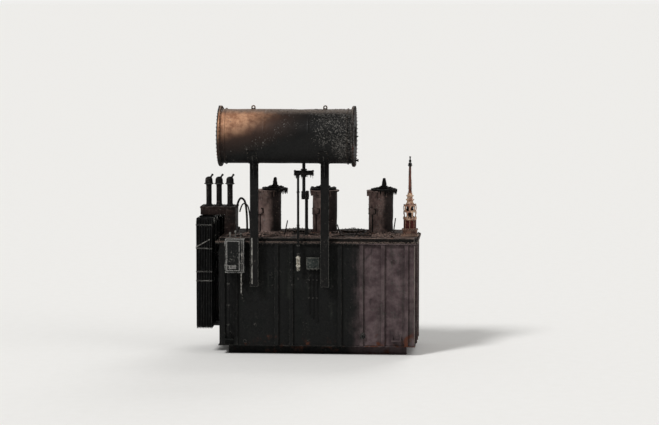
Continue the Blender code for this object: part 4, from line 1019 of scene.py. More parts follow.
def conservator():
    """The shell, dented by the heat, with its lifting eyes and its seams."""
    profile, dented = shell_profile()
    inner = SHELL_RADIUS - 0.02

    def warp(point):
        radius = math.hypot(point.x, point.y)
        if round(point.z, 5) not in dented or radius < inner + 0.004:
            return point
        place = (point.x * 1.1, point.y * 1.1, point.z * 0.75)
        return scaled(point, 1 - (dent(place, 1.4, 0.011) + dent(place, 5.0, 0.0018)) / radius)

    shape = Shape()
    profile += [(inner, SHELL_LENGTH), (inner, 0.0)]
    shape.lathe(profile, 144, SHELL_START, closed=True, warp=warp)
    crown = AXIS_Z + SHELL_RADIUS
    ring = [(0.025, -0.013), (0.027, -0.015), (0.058, -0.015), (0.060, -0.013)]
    ring += [(radius, -height) for radius, height in reversed(ring)]
    for x in EYE_PLACES:
        shape.lathe(ring, 32, at(x, AXIS_Y, crown + 0.046) @ TO_FRONT, closed=True)
        shape.box((x - 0.06, AXIS_Y - 0.015, crown - 0.012), (x + 0.06, AXIS_Y + 0.015, crown + 0.022))
    shape.piece("conservator_skin", "shell_paint", "burnt_shell", "conservator_shell", angle=32)
    across = 0.62
    level = AXIS_Z + math.sqrt(SHELL_RADIUS**2 - across**2) - 0.004
    lines = [[(SHELL_LEFT + 0.2 + step * 0.05, AXIS_Y + across, level) for step in range(66)]]
    for x in EYE_PLACES:
        for y in (AXIS_Y - 0.017, AXIS_Y + 0.017):
            lines.append([(x - 0.062, y, crown - 0.001), (x + 0.062, y, crown - 0.001)])
    beads("conservator_seams", "burnt_shell", lines, 0.005, 0.02)


def end_covers():
    """The bolted end covers: bars across the left one, a lid with handles and a drain on the right one."""
    for side, edge, outward in (("left", SHELL_LEFT, -1), ("right", SHELL_RIGHT, 1)):
        inner = edge + outward * SEAT
        face = inner + outward * COVER_THICKNESS
        centre = at(face, AXIS_Y, AXIS_Z)
        shape = Shape()
        disc_place = at(min(inner, face), AXIS_Y, AXIS_Z) @ ALONG_X
        shape.discs(disc_place, 144, (FLANGE_RADIUS, COVER_THICKNESS), ease=0.004)
        if side == "left":
            for angle in (0, 90):
                for start, end in ((-0.66, -0.16), (0.16, 0.66)):
                    bar = centre @ turned(angle, "X")
                    shape.box((-0.022, start, -0.012), (0.004, end, 0.012), 0.002, bar)
        else:
            lid = at(face - 0.002, AXIS_Y, AXIS_Z) @ TO_RIGHT
            shape.discs(lid, 64, (0.27, 0.022), (0.25, 0.016), ease=0.003)
            for y in (-0.13, 0.13):
                shape.handle(at(face, AXIS_Y + y, AXIS_Z) @ ALONG_X, 0.05, 0.030, 0.075, 0.018)
            drain = at(face - 0.002, AXIS_Y, AXIS_Z - 0.66) @ TO_RIGHT
            shape.discs(drain, 32, (0.045, 0.014), (0.026, 0.05), (0.040, 0.03), ease=0.003)
        for y in (AXIS_Y - 0.055, AXIS_Y + 0.055):
            low, high = AXIS_Z + 0.765, AXIS_Z + 0.838
            shape.box((face, y - 0.02, low), (face + outward * 0.02, y + 0.02, high), 0.004)
        name, slot = f"conservator_end_{side}", "sooted_cover"
        shape.piece(name, "sooted_end_cover", slot, f"conservator_cover_{side}")
        spots = []
        for y, z in circle(44, 0.80, 0.5):
            spots.append(((face, AXIS_Y + y, AXIS_Z + z), (outward, 0, 0)))
            spots.append(((edge - outward * 0.035, AXIS_Y + y, AXIS_Z + z), (-outward, 0, 0)))
        if side == "right":
            spots += ring_spots(centre @ ALONG_X, 16, 0.258, 0.020)
        bolts(f"{name}_bolts", slot, spots, 0.016, 0.014)


def level_gauge():
    """A dial gauge on the left cover: bezel, smoked glass, plain marks and a pointer."""
    out = at(SHELL_LEFT - SEAT - COVER_THICKNESS, AXIS_Y, AXIS_Z) @ TO_LEFT
    case = Shape()
    case.discs(out, 64, (0.100, 0.020), (0.086, 0.034), ease=0.003)
    bezel = [(0.074, 0.050), (0.076, 0.048), (0.098, 0.048), (0.100, 0.051)]
    bezel += [(0.100, 0.072), (0.094, 0.079), (0.080, 0.079), (0.074, 0.073)]
    case.lathe(bezel, 64, out, closed=True)
    case.piece("level_gauge_case", "charred_fitting", "sooted_cover", "oil_level_gauge")

    def plate(name, finish, radius, thickness, level):
        shape = Shape()
        shape.discs(out @ at(0, 0, level), 48, (radius, thickness))
        shape.piece(name, finish, "sooted_cover")

    plate("level_gauge_dial", "smoked_enamel", 0.074, 0.006, 0.053)
    marks = Shape()
    for step in range(11):
        mark = out @ turned(-120 + 24 * step) @ at(0, 0.060, 0.0595)
        marks.box((-0.0015, -0.007, 0), (0.0015, 0.007, 0.0012), 0.0003, mark)
    hand = out @ turned(-96) @ at(0, 0.024, 0.061)
    marks.box((-0.003, -0.034, 0), (0.003, 0.030, 0.002), 0.0006, hand)
    marks.discs(out @ at(0, 0, 0.059), 20, (0.009, 0.005))
    marks.piece("level_gauge_marks", "charred_fitting", "sooted_cover")
    plate("level_gauge_glass", "smoked_glass", 0.076, 0.004, 0.069)


def legs():
    """Bolts and welds of the two columns and their cradles, and the earth strap."""
    spots, lines = [], []
    for x in LEG_PLACES:
        for level in (2.07, 3.05):
            spots += [((x + side, FRONT_FACE - 0.05, level), UP) for side in (-0.07, 0.07)]
        for side in (-0.115, 0.115):
            for angle in (-56, -42, 42, 56):
                outward = turned(angle, "X") @ Vector(DOWN)
                centre = Vector((x + side, AXIS_Y, AXIS_Z))
                spots.append((centre + outward * (SHELL_RADIUS + 0.0145), outward))
        foot = AXIS_Z - SHELL_RADIUS - 0.018
        for y in (AXIS_Y - 0.1, AXIS_Y + 0.1):
            lines += [[(x + edge, y, foot), (x, y, foot)] for edge in (-0.11, 0.11)]
    bolts("column_bolts", "sooted_paint", spots, 0.014, 0.012)
    strap = Shape()
    strap.box((-1.785, AXIS_Y - 0.105, 2.02), (-1.750, AXIS_Y - 0.0995, 3.30), 0.001)
    for level in (2.10, 2.62, 3.14):
        strap.discs(at(-1.7675, AXIS_Y - 0.104, level) @ TO_FRONT, 6, (0.012, 0.008))
    strap.piece("column_earth_strap", "scraped_bar", "sooted_paint")
    beads("column_welds", "sooted_paint", lines)


# ---------------------------------------------------------------- pipework


def cross_pipe():
    """What hangs under the shell: a stub, a short cross pipe with blind ends, and its hand wheel."""
    x, y, top, bottom = PIPE_X, AXIS_Y, 5.1897, 5.0297
    level = (top + bottom) / 2
    half, flanges = 0.265, [(0.079, 0.020)] * 2
    shape = Shape()
    shape.discs(at(x, y, top - 0.002), 40, (0.09, 0.022), (0.045, 0.158))
    shape.discs(at(x - half, y, level) @ ALONG_X, 40, *flanges, (0.066, 0.450), *flanges, ease=0.003)
    shape.discs(at(x, y, bottom + 0.004), 40, (0.079, 0.150), ease=0.012)
    shape.discs(at(x, y - 0.06, level) @ TO_FRONT, 32, (0.052, 0.03), (0.034, 0.055), (0.018, 0.05))
    shape.hand_wheel(at(x, y - 0.185, level) @ TO_FRONT, 40, 0.064, 0.007, 3)
    shape.discs(at(BREATHER_X, y, bottom), 32, (0.040, 0.018), (0.026, 0.012))
    shape.piece("conservator_cross_pipe", "charred_fitting", "sooted_paint", "conservator_valve")
    spots = ring_spots(at(x, y, top), 6, 0.070, 0.020)
    for side in (-1, 1):
        spots += ring_spots(at(x + side * half, y, level) @ ALONG_X, 6, 0.064, axis=(0, 0, side))
    bolts("cross_pipe_bolts", "sooted_paint", spots, 0.010, 0.010)
    hang = random.Random(8)
    points = [(x + hang.uniform(-0.25, 0.25), y + hang.uniform(-0.05, 0.05), level - 0.05) for _ in range(26)]
    drips("cross_pipe_drips", "sooted_paint", points, 0.12, 0.009)


def flange_on(shape, place, inward):
    """A bolted flange with its outer face at the place; gives the spots of its bolts."""
    seat = Matrix.Translation(place) @ Vector(UP).rotation_difference(Vector(inward)).to_matrix().to_4x4()
    radius, thickness = 0.09, 0.02
    shape.discs(seat, 40, (radius, thickness))
    return ring_spots(seat, 6, radius * 0.76, thickness, 0.5)


def oil_pipes():
    """The pipe from the shell to the gas relay, the relay, and the pipe from it to the cover."""
    x, y, level = PIPE_X, RELAY_Y, RELAY_LEVEL
    rising = ((x, AXIS_Y, PIPES_TOP), (x, AXIS_Y, level), (x, -1.1903, level))
    falling = ((x, -0.9297, level), (x, -0.62, level), (x, -0.62, TURRET_FOOT))
    spots = []
    for name, corners, ends, node in (
        ("rising", rising, (DOWN, (0, -1, 0)), "upper"),
        ("falling", falling, ((0, 1, 0), UP), "lower"),
    ):
        shape = Shape()
        shape.tube(bent(corners, 0.11, 10), 0.045, 32)
        spots += flange_on(shape, corners[0], ends[0]) + flange_on(shape, corners[-1], ends[1])
        shape.piece(f"oil_pipe_{name}", "sooted_steel", "sooted_paint", f"oil_pipe_{node}")
    bolts("oil_pipe_bolts", "sooted_paint", spots, 0.010, 0.010)
    relay = Shape()
    top = level + 0.0945
    relay.box((x - 0.10, y - 0.08, 4.34), (x + 0.10, y + 0.08, 4.54), 0.012)
    relay.box((x - 0.108, y - 0.088, 4.54), (x + 0.108, y + 0.088, 4.555))
    relay.discs(at(x - 0.04, y, top), 24, (0.035, 0.016), (0.014, 0.024), (0.022, 0.012))
    relay.box((x + 0.02, y - 0.05, top), (x + 0.085, y + 0.05, 4.578), 0.004)
    relay.discs(at(x, y - 0.13, level) @ TO_BACK, 40, (0.09, 0.02), (0.045, 0.22), (0.09, 0.02))
    for side in (x - 0.1, x + 0.1):
        relay.box((side - 0.006, y - 0.045, 4.40), (side + 0.006, y + 0.045, 4.49))
    relay.piece("gas_relay_case", "charred_fitting", "sooted_paint", "gas_relay")
    spots = [((x + bx, y + by, 4.555), UP) for bx in (-0.09, 0.09) for by in (-0.07, 0.0, 0.07)]
    for reach in (-0.11, 0.11):
        inward = (0, math.copysign(1, -reach), 0)
        spots += [((x + bx, y + reach, level + bz), inward) for bx, bz in circle(6, 0.068, 0.5)]
    bolts("gas_relay_bolts", "sooted_paint", spots, 0.008, 0.008)


def breather():
    """The breather's long pipe and the drying breather: cap, glass jar, tie rods and oil cup."""
    x, y = BREATHER_X, AXIS_Y
    pipe = Shape()
    pipe.tube([(x, y, 2.8003), (x, y, PIPES_TOP)], 0.033, 28)
    for level in (2.82, 3.62, 4.55, 4.97):
        pipe.discs(at(x, y, level), 6, (0.046, 0.05), ease=0.006)
    pipe.box((x - 0.045, y - 0.045, 3.074), (x + 0.045, y + 0.045, 3.100), 0.004)
    pipe.box((x - 0.015, y + 0.03, 3.074), (x + 0.015, FRONT_FACE - SEAT, 3.100))
    pipe.piece("breather_pipe_run", "sooted_steel", "sooted_paint", "breather_pipe")
    body = Shape()
    body.discs(at(x, y, 2.734), 48, (0.065, 0.022), (0.058, 0.014), (0.034, 0.03), ease=0.004)
    body.discs(at(x, y, 2.500), 48, (0.058, 0.014), (0.065, 0.020), ease=0.004)
    for bx, by in circle(4, 0.058, 0.5):
        body.tube([(x + bx, y + by, 2.515), (x + bx, y + by, 2.745)], 0.004, 10)
    body.piece("breather_frame", "smoked_enamel", "pale_housing", "breather")
    gel = Shape()
    gel.discs(at(x, y, 2.532), 40, (0.049, 0.20), ease=0.01)
    gel.piece("breather_filling", "drying_beads", "pale_housing")
    foot = 2.38
    glass = Shape()
    glass.lathe([(0.051, 2.53), (0.054, 2.53), (0.054, 2.737), (0.051, 2.737)], 48, at(x, y, 0), closed=True)
    cup = [(0, 0), (0.038, 0), (0.045, 0.012), (0.045, 0.122), (0.041, 0.122), (0.041, 0.014), (0, 0.010)]
    glass.lathe(cup, 40, at(x, y, foot))
    glass.piece("breather_glass", "smoked_glass", "pale_housing")
    oil = Shape()
    oil.discs(at(x, y, foot + 0.012), 40, (0.040, 0.05), ease=0.004)
    oil.piece("breather_cup_oil", "smoked_enamel", "pale_housing")


# ---------------------------------------------------------------- turrets and bushings


def turrets():
    """The ash-coated turrets, each with a terminal box, its conduit, lifting lugs, bolts and a seam."""
    height = TURRET_HEAD - TURRET_FOOT
    radius, flange = TURRET_RADIUS, TURRET_FLANGE
    foot = [(flange - 0.003, 0), (flange, 0.003), (flange, 0.027), (flange - 0.003, 0.03)]
    foot += [(radius + 0.007, 0.03), (radius, 0.038)]
    head = [(reach, height - level) for reach, level in reversed(foot)]
    wall = [(radius, level) for level in even(0.04, height - 0.04, 25)]
    for number, (x, y) in TURRETS.items():

        def warp(point, seed=10.0 * number):
            if abs(math.hypot(point.x, point.y) - radius) > 0.001:
                return point
            return scaled(point, 1 - dent((point.x + seed, point.y, point.z), 2.2, 0.012) / radius)

        shape = Shape()
        shape.lathe([(0, 0), *foot, *wall, *head, (0, height)], 96, at(x, y, TURRET_FOOT), warp=warp)
        box = at(x, y, TURRET_FOOT + 0.62) @ turned(-38)
        shape.box((-0.11, -0.398, -0.08), (0.11, -0.33, 0.08), 0.006, box)
        shape.box((-0.118, -0.405, -0.088), (0.118, -0.396, 0.088), 0.003, box)
        for turn in (0.5, 2.6, 4.7):
            lug = at(x, y, TURRET_HEAD - 0.12) @ Matrix.Rotation(turn, 4, "Z")
            shape.box((-0.012, -0.405, -0.05), (0.012, -0.34, 0.088), 0.003, lug)
        slot = "ash_coated_steel"
        shape.piece(f"hv_turret_{number}_body", "ashen_turret", slot, f"hv_turret_{number}", angle=35)
        spots = []
        for bx, by in circle(20, 0.382):
            spots.append(((x + bx, y + by, TURRET_FOOT + 0.03), UP))
            spots.append(((x + bx, y + by, TURRET_HEAD - 0.03), DOWN))
        outward = box.to_3x3() @ Vector((0, -1, 0))
        spots += [(box @ Vector((bx, -0.405, bz)), outward) for bx in (-0.1, 0.1) for bz in (-0.07, 0.07)]
        bolts(f"hv_turret_{number}_bolts", slot, spots, 0.015, 0.014)
        px, py, pz = box @ Vector((0.0, -0.37, -0.08))
        pipe = Shape()
        pipe.tube([(px, py, pz), (px, py, TURRET_FOOT + 0.05)], 0.014, 14)
        pipe.discs(at(px, py, pz - 0.02), 6, (0.022, 0.02))
        pipe.discs(at(px, py, TURRET_FOOT + 0.028), 6, (0.024, 0.022))
        pipe.piece(f"hv_turret_{number}_conduit", "sooted_steel", slot)
        sx, sy = 0.349 * math.sin(2.2), -0.349 * math.cos(2.2)
        seam = [(x + sx, y + sy, TURRET_FOOT + 0.04 + 0.056 * step) for step in range(21)]
        beads(f"hv_turret_{number}_seam", slot, [seam], 0.006, 0.02)


def bushing_remains():
    """A warped disc, the jagged ring of porcelain on it, the charred stump, melted runs and lumps."""
    radius, thickness = 0.37, 0.05
    for number, (slip_x, slip_y) in HV_SLIPS.items():
        x, y = TURRETS[number]
        base = at(x + slip_x, y + slip_y, TURRET_HEAD + SEAT)
        seed = 31.0 * number

        def sag(point, seed=seed):
            wave = rippled((point.x * 4 + seed, point.y * 4, 0))
            rim = max(0.0, (math.hypot(point.x, point.y) - 0.22) / 0.15)
            z = point.z + 0.022 * wave * rim + (0.030 if point.z > 0.03 else 0.012) * rim * max(0, wave)
            edge = 1 - 0.07 * rim * abs(noise.noise(Vector((point.x * 9 + seed, point.y * 9, 3))))
            return Vector((point.x * edge, point.y * edge, max(z, 0.0)))

        def jag(point, seed=seed):
            if point.z <= 0.07:
                return point
            left = 0.5 + 0.5 * noise.noise(Vector((point.x * 14 + seed, point.y * 14, 1)))
            return Vector((point.x, point.y, 0.06 + (point.z - 0.06) * max(0.15, left)))

        def crust(point, seed=seed):
            bump = 1 + 0.22 * rippled((point.x * 18 + seed, point.y * 18, point.z * 14))
            return Vector((point.x * bump + 0.02 * point.z, point.y * bump, point.z))

        shape = Shape()
        reaches = [radius * step / 12 for step in range(13)]
        profile = [(reach, 0) for reach in reaches] + [(0.374, 0.012), (0.374, 0.038)]
        shape.lathe(profile + [(reach, thickness) for reach in reversed(reaches)], 96, base, warp=sag)
        ring = [(0.205, 0.045), (0.210, 0.060), (0.208, 0.072), (0.205, 0.13)]
        ring += [(0.178, 0.135), (0.165, 0.10), (0.160, 0.045)]
        shape.lathe(ring, 72, base, closed=True, warp=jag)
        shape.discs(base @ at(0, 0, 0.045), 48, (0.150, 0.06), (0.105, 0.03), ease=0.006)
        stump = [(0.0, 0.12), (0.072, 0.12)]
        stump += [(0.070 - 0.0022 * step, 0.13 + 0.018 * step) for step in range(12)]
        shape.lathe(stump + [(0.030, 0.352), (0, 0.356)], 36, base, warp=crust)
        name, slot = f"hv_bushing_{number}", "burnt_fitting"
        shape.piece(f"{name}_remains", "charred_fitting", slot, name, angle=60)
        rough = random.Random(number)
        points = []
        for _ in range(150):
            turn = rough.uniform(0, 2 * math.pi)
            reach = rough.uniform(0.33, 0.368)
            points.append(base @ Vector((reach * math.cos(turn), reach * math.sin(turn), 0.03)))
        points = [point for point in points if math.hypot(point.x - x, point.y - y) > TURRET_FLANGE + 0.005]
        drips(f"{name}_drips", slot, points or [base @ Vector((0.36, 0.0, 0.02))], 0.16, 0.013)
        cx, cy, _ = base.translation
        area = ((cx - 0.24, cy - 0.24), (cx + 0.24, cy + 0.24), TURRET_HEAD + 0.052)
        rubble(f"{name}_lumps", slot, [area], 260.0, 0.036, 40 + number, "charred_fitting", 0.8)


def broken_tube(bottom, top, radius, wall, seed):
    """A porcelain tube with ragged holes knocked through it and a jagged top, as a bmesh shell."""
    columns, rows, windows = 96, 30, 8
    part = bmesh.new()
    grid = []
    for row in range(rows + 1):
        share = row / rows
        ring = []
        for angle in (2 * math.pi * column / columns for column in range(columns)):
            wave = 0.025 * noise.noise(Vector((angle * 3 + seed, share * 9, 0)))
            reach = radius * (1 + 0.05 * math.sin(share * math.pi * 6) + wave)
            crown = 0.05 * rippled((math.cos(angle) * 4 + seed, math.sin(angle) * 4, 2))
            level = bottom + (top - bottom) * share + (crown if row == rows else crown * share * 0.4)
            ring.append(part.verts.new((reach * math.sin(angle), -reach * math.cos(angle), level)))
        grid.append(ring)
    for row in range(rows):
        share = (row + 0.5) / rows
        for column in range(columns):
            phase = (column / columns * windows) % 1.0
            ragged = 0.12 * noise.noise(Vector((column * 0.7, row * 0.7, seed)))
            high = 0.60 < share - ragged < 0.86 and 0.22 < phase - ragged < 0.78
            low = 0.16 < share - ragged < 0.46 and 0.20 < (phase + 0.5) % 1.0 - ragged < 0.80
            if not high and not low:
                after = (column + 1) % columns
                face = (grid[row][column], grid[row][after], grid[row + 1][after], grid[row + 1][column])
                part.faces.new(face)
    # Faces that hold on by a corner alone come off, then whatever isn't joined to the foot.
    corners = True
    while corners:
        bmesh.ops.delete(part, geom=[vert for vert in part.verts if not vert.link_faces], context="VERTS")
        corners = [vert for vert in part.verts if sum(edge.is_boundary for edge in vert.link_edges) > 2]
        touching = {face for vert in corners for face in vert.link_faces}
        bmesh.ops.delete(part, geom=list(touching), context="FACES")
    reached, front = set(), list(grid[0][0].link_faces)
    while front:
        face = front.pop()
        if face not in reached:
            reached.add(face)
            front += [other for edge in face.edges for other in edge.link_faces]
    bmesh.ops.delete(part, geom=[face for face in part.faces if face not in reached], context="FACES")
    for _ in range(4):
        torn = [vert for vert in part.verts if vert.is_boundary and vert.co.z > bottom + 0.01]
        bmesh.ops.smooth_vert(part, verts=torn, factor=0.5, use_axis_x=True, use_axis_y=True, use_axis_z=True)
    bmesh.ops.recalc_face_normals(part, faces=part.faces)
    bmesh.ops.solidify(part, geom=part.faces[:], thickness=wall)
    return part


def neutral_bushing():
    """The burnt neutral bushing: seat, ribbed can, broken porcelain over a charred core, stem and cap."""
    x, y = NEUTRAL_X, NEUTRAL_Y
    foot, slot = TURRET_FOOT, "burnt_porcelain"
    base = Shape()
    base.box((x - 0.24, y - 0.24, foot), (x + 0.24, y + 0.24, foot + 0.03), 0.005)
    base.discs(at(x, y, foot + 0.026), 72, (0.23, 0.034), (0.20, 0.10), (0.23, 0.03), ease=0.004)
    base.piece("neutral_bushing_seat", "stained_seat", "ash_coated_steel", "neutral_bushing_base")
    spots = ring_spots(at(x, y, foot), 16, 0.214, 0.19)
    spots += [((x + sx, y + sy, foot + 0.03), UP) for sx in (-0.2, 0.2) for sy in (-0.2, 0.2)]
    spots += ring_spots(at(x, y, foot), 16, 0.215, 0.06, 0.5)
    bolts("neutral_bushing_bolts", "ash_coated_steel", spots, 0.011, 0.012)
    seat = foot + 0.1903
    can = Shape()
    can.discs(at(x, y, seat), 72, (0.180, 0.018), (0.168, 0.235), (0.180, 0.018), ease=0.003)
    for number in range(8):
        can.box((-0.006, -0.179, 0.015), (0.006, -0.160, 0.256), 0.002, at(x, y, seat) @ turned(45 * number))
    can.piece("neutral_bushing_can", "maroon_can", slot, "neutral_bushing")
    shell = Shape()
    shell.take(broken_tube(seat + 0.268, seat + 0.70, 0.168, 0.016, 4.0), at(x, y, 0))
    shell.piece("neutral_bushing_broken_shell", "smoked_porcelain", slot, angle=50)

    def wobble(point):
        return scaled(point, 1 + 0.12 * noise.noise(Vector((point.x * 20, point.y * 20, point.z * 6))))

    core = Shape()
    core.discs(at(x, y, seat + 0.266), 40, (0.095, 0.45), (0.075, 0.02), ease=0.006)
    crumbs = [(0, 0.268), (0.13, 0.268), (0.12, 0.30), (0.09, 0.33), (0, 0.33)]
    core.lathe(crumbs, 40, at(x, y, seat), warp=wobble)
    core.piece("neutral_bushing_core", "charred_fitting", slot)
    upper = Shape()
    profile = [(0, -0.01), (0.118, -0.01), (0.118, 0.02), (0.085, 0.05), (0.080, 0.09), (0.116, 0.115)]
    profile += [(0.118, 0.13), (0.078, 0.15), (0.074, 0.20), (0.104, 0.225), (0.106, 0.24), (0.070, 0.265)]
    profile += [(0.066, 0.32), (0, 0.32)]
    upper.lathe([(radius, seat + 0.70 + level) for radius, level in profile], 64, at(x, y, 0), warp=wobble)
    upper.piece("neutral_bushing_shoulder", "smoked_porcelain", slot, angle=50)
    low, sheds, pitch = seat + 1.02, 17, 0.044
    top = low + 0.01 + sheds * pitch
    profile = [(0, low - 0.005), (0.060, low - 0.005)]
    for number in range(sheds):
        level = low + 0.01 + number * pitch
        thin, wide = 0.040 - 0.0008 * number, 0.062 - 0.0011 * number
        profile += [(thin, level), (wide, level + 0.016)]
        profile += [(wide - 0.003, level + 0.022), (thin, level + 0.034)]

    def broken(point):
        radius = math.hypot(point.x, point.y)
        if radius < 0.042:
            return point
        chip = noise.noise(Vector((point.x * 10, point.y * 10, point.z * 9)))
        keep = 1 - min(1.0, max(0.0, chip + 0.1) * 1.8)
        return scaled(point, (0.038 + (radius - 0.038) * keep) / radius)

    stem = Shape()
    stem.lathe([*profile, (0.030, top), (0, top)], 56, at(x, y, 0), warp=broken)
    stem.piece("neutral_bushing_stem", "stained_stem", slot, angle=50)
    cap = Shape()
    cap.discs(at(x, y, top - 0.005), 40, (0.062, 0.035), (0.048, 0.05), (0.020, 0.02), ease=0.006)
    cap.discs(at(x, y, top + 0.09), 24, (0.017, 0.14), (0.026, 0.03), ease=0.003)
    cap.box((x - 0.035, y - 0.006, top + 0.10), (x + 0.035, y + 0.006, top + 0.16), 0.002)
    cap.piece("neutral_bushing_cap", "charred_fitting", slot)


# ---------------------------------------------------------------- low voltage box


def lv_chamber():
    """The box over the radiators: sheet sides, a bolted lid and the neck down to the cover."""
    left, right, half, bottom, top = LV_LEFT, LV_RIGHT, LV_HALF, LV_BOX_FOOT, LV_BOX_TOP
    foot, neck = TURRET_FOOT, right - 0.34
    shape = Shape()
    shape.box((left + 0.015, -half + 0.015, bottom), (right - 0.015, half - 0.015, top - 0.020), 0.004)
    for low, high in ((top - 0.036, top - 0.019), (top - 0.018, top)):
        shape.box((left, -half, low), (right, half, high))
    for x in (left + 0.26, left + 0.51, left + 0.76):
        for side in (-1, 1):
            inner, outer = side * (half - 0.03), side * (half - 0.008)
            shape.box((x - 0.012, inner, bottom + 0.01), (x + 0.012, outer, top - 0.037), 0.002)
    shape.box((neck + 0.02, -half + 0.02, foot), (right - 0.02, half - 0.02, bottom + 0.01), 0.004)
    shape.box((neck, -half, foot), (right, half, foot + 0.02))
    shape.piece("lv_chamber", "burnt_box_paint", "burnt_box", "lv_box")
    rim = half - 0.012
    spots = [((x, y, top), UP) for x in even(left + 0.04, right - 0.04, 11) for y in (-rim, rim)]
    spots += [((x, y, top), UP) for y in even(-rim, rim, 9)[1:-1] for x in (left + 0.012, right - 0.012)]
    sides = (neck + 0.010, right - 0.010)
    spots += [((x, y, foot + 0.02), UP) for y in even(-half + 0.05, half - 0.05, 7) for x in sides]
    bolts("lv_chamber_bolts", "burnt_box", spots, 0.009, 0.009)


def lv_bushings():
    """The three low voltage bushings: a crusted post with a leaning terminal, and a ring at its crown."""
    foot = LV_BOX_TOP + SEAT
    profile = [(0, 0), (0.117, 0), (0.12, 0.003), (0.12, 0.022), (0.117, 0.025), (0.092, 0.028)]
    profile += [(0.086, 0.05), (0.080, 0.07)] + [(0.078, 0.10 + 0.04 * step) for step in range(12)]
    profile += [(0.082, 0.60), (0.112, 0.612), (0.118, 0.630), (0.118, 0.642), (0.108, 0.650)]
    turns = [math.pi / 2 * step / 8 for step in range(8)]
    profile += [(0.105 * math.cos(turn), 0.735 + 0.095 * math.sin(turn)) for turn in turns] + [(0, 0.83)]
    edge = [(0.112, 0.617), (0.132, 0.619), (0.135, 0.623), (0.135, 0.635), (0.132, 0.638), (0.112, 0.640)]
    spots = []
    for number, x in enumerate(LV_PLACES, 1):

        def crust(point, seed=5.0 * number):
            if math.hypot(point.x, point.y) < 0.06 or point.z < 0.05:
                return point
            return scaled(point, 1 + 0.018 * rippled((point.x * 14 + seed, point.y * 14, point.z * 10), 4))

        name, slot = f"lv_bushing_{number}", "burnt_fitting"
        post = Shape()
        post.lathe(profile, 56, at(x, 0, foot), warp=crust)
        root = at(x, 0, foot + 0.735) @ turned(35, "Y")
        post.discs(root, 28, (0.034, 0.105), (0.025, 0.06), ease=0.004)
        post.box((-0.030, -0.010, 0.15), (0.030, 0.010, 0.20), 0.004, root)
        post.piece(f"{name}_post", "charred_fitting", slot, name, angle=50)
        ring = Shape()
        ring.lathe(edge, 48, at(x, 0, foot), closed=True)
        ring.piece(f"{name}_ring", "strap_paint", slot)
        spots += ring_spots(at(x, 0, foot), 6, 0.104, 0.025)
        outward = root.to_3x3() @ Vector((0, -1, 0))
        spots += [(root @ Vector((bx, -0.010, 0.178)), outward) for bx in (-0.017, 0.017)]
    bolts("lv_bushing_bolts", "burnt_fitting", spots, 0.009, 0.010)


# ---------------------------------------------------------------- radiators


def panel_unit(place):
    """One pressed panel: flutes across its width, thin at its rims, standing at its first place."""
    half, rim, thin, thick = 0.26, 0.014, 0.0035, 0.0155
    flutes, steps = 7, 6
    across = [-half, *even(-half + rim, half - rim, flutes * steps + 1), half]

    def depth(y, fade):
        share = (y + half - rim) / (2 * half - 2 * rim)
        if not 0 < share < 1:
            return thin
        return thin + (thick - thin) * fade * abs(math.sin(math.pi * flutes * share)) ** 0.7

    ends = ((0.0, 0.0), (0.012, 0.0), (0.05, 0.55), (0.10, 1.0))
    height = RADIATOR_TOP - RADIATOR_BOTTOM
    part = bmesh.new()
    rings = []
    for z, fade in (*ends, *((height - z, fade) for z, fade in reversed(ends))):
        front = [(-depth(y, fade), y, z) for y in across]
        back = [(depth(y, fade), y, z) for y in reversed(across)]
        rings.append([part.verts.new(corner) for corner in front + back])
    joined_rings(part, rings)
    part.faces.new(rings[0])
    part.faces.new(rings[-1])
    shape = Shape()
    shape.take(part, place)
    return shape


def radiators():
    """The four radiators: fluted panels between two headers, with straps across their edges."""
    outer, inner, count, slot = -3.38, -2.937, 10, "sooted_radiator"
    upper, lower = RADIATOR_TOP - 0.10, RADIATOR_BOTTOM + 0.10
    for number, y in RADIATOR_ROWS.items():
        unit = panel_unit(at(outer + 0.016, y, RADIATOR_BOTTOM))
        step = ((inner - outer - 0.032) / (count - 1), 0.0, 0.0)
        name = f"radiator_{number}"
        repeated(unit, f"{name}_panels", "sooted_panels", slot, count, step, name, angle=50)
        fittings = Shape()
        for level, end in ((upper, -2.917), (lower, LEFT_FACE - SEAT)):
            fittings.discs(at(-3.396, y, level) @ ALONG_X, 32, (0.045, end + 3.396), ease=0.006)
        fittings.discs(at(LEFT_FACE - 0.0165, y, lower) @ ALONG_X, 32, (0.080, 0.016))
        fittings.discs(at(LEFT_FACE - 0.034, y, lower) @ ALONG_X, 32, (0.072, 0.014))
        fittings.discs(at(-3.30, y, RADIATOR_TOP - 0.060), 16, (0.012, 0.022), (0.018, 0.010))
        fittings.piece(f"{name}_headers", "sooted_panels", slot)
        straps = Shape()
        for level, tilt in ((2.033, 0), (2.29, 0), (2.94, 1.2), (3.5985, 0)):
            for edge in (y - 0.262, y + 0.262):
                place = at(-3.158, edge, level + 0.015) @ turned(tilt, "Y")
                straps.box((-0.228, -0.004, -0.015), (0.228, 0.004, 0.015), 0.0015, place)
        straps.piece(f"{name}_straps", "strap_paint", slot)
    loose = Shape()
    slant = at(-3.19, RADIATOR_ROWS[1] - 0.272, 3.10) @ turned(-29, "Y")
    loose.box((-0.225, -0.003, -0.012), (0.225, 0.003, 0.012), 0.001, slant)
    loose.piece("radiator_loose_strap", "scraped_bar", slot)


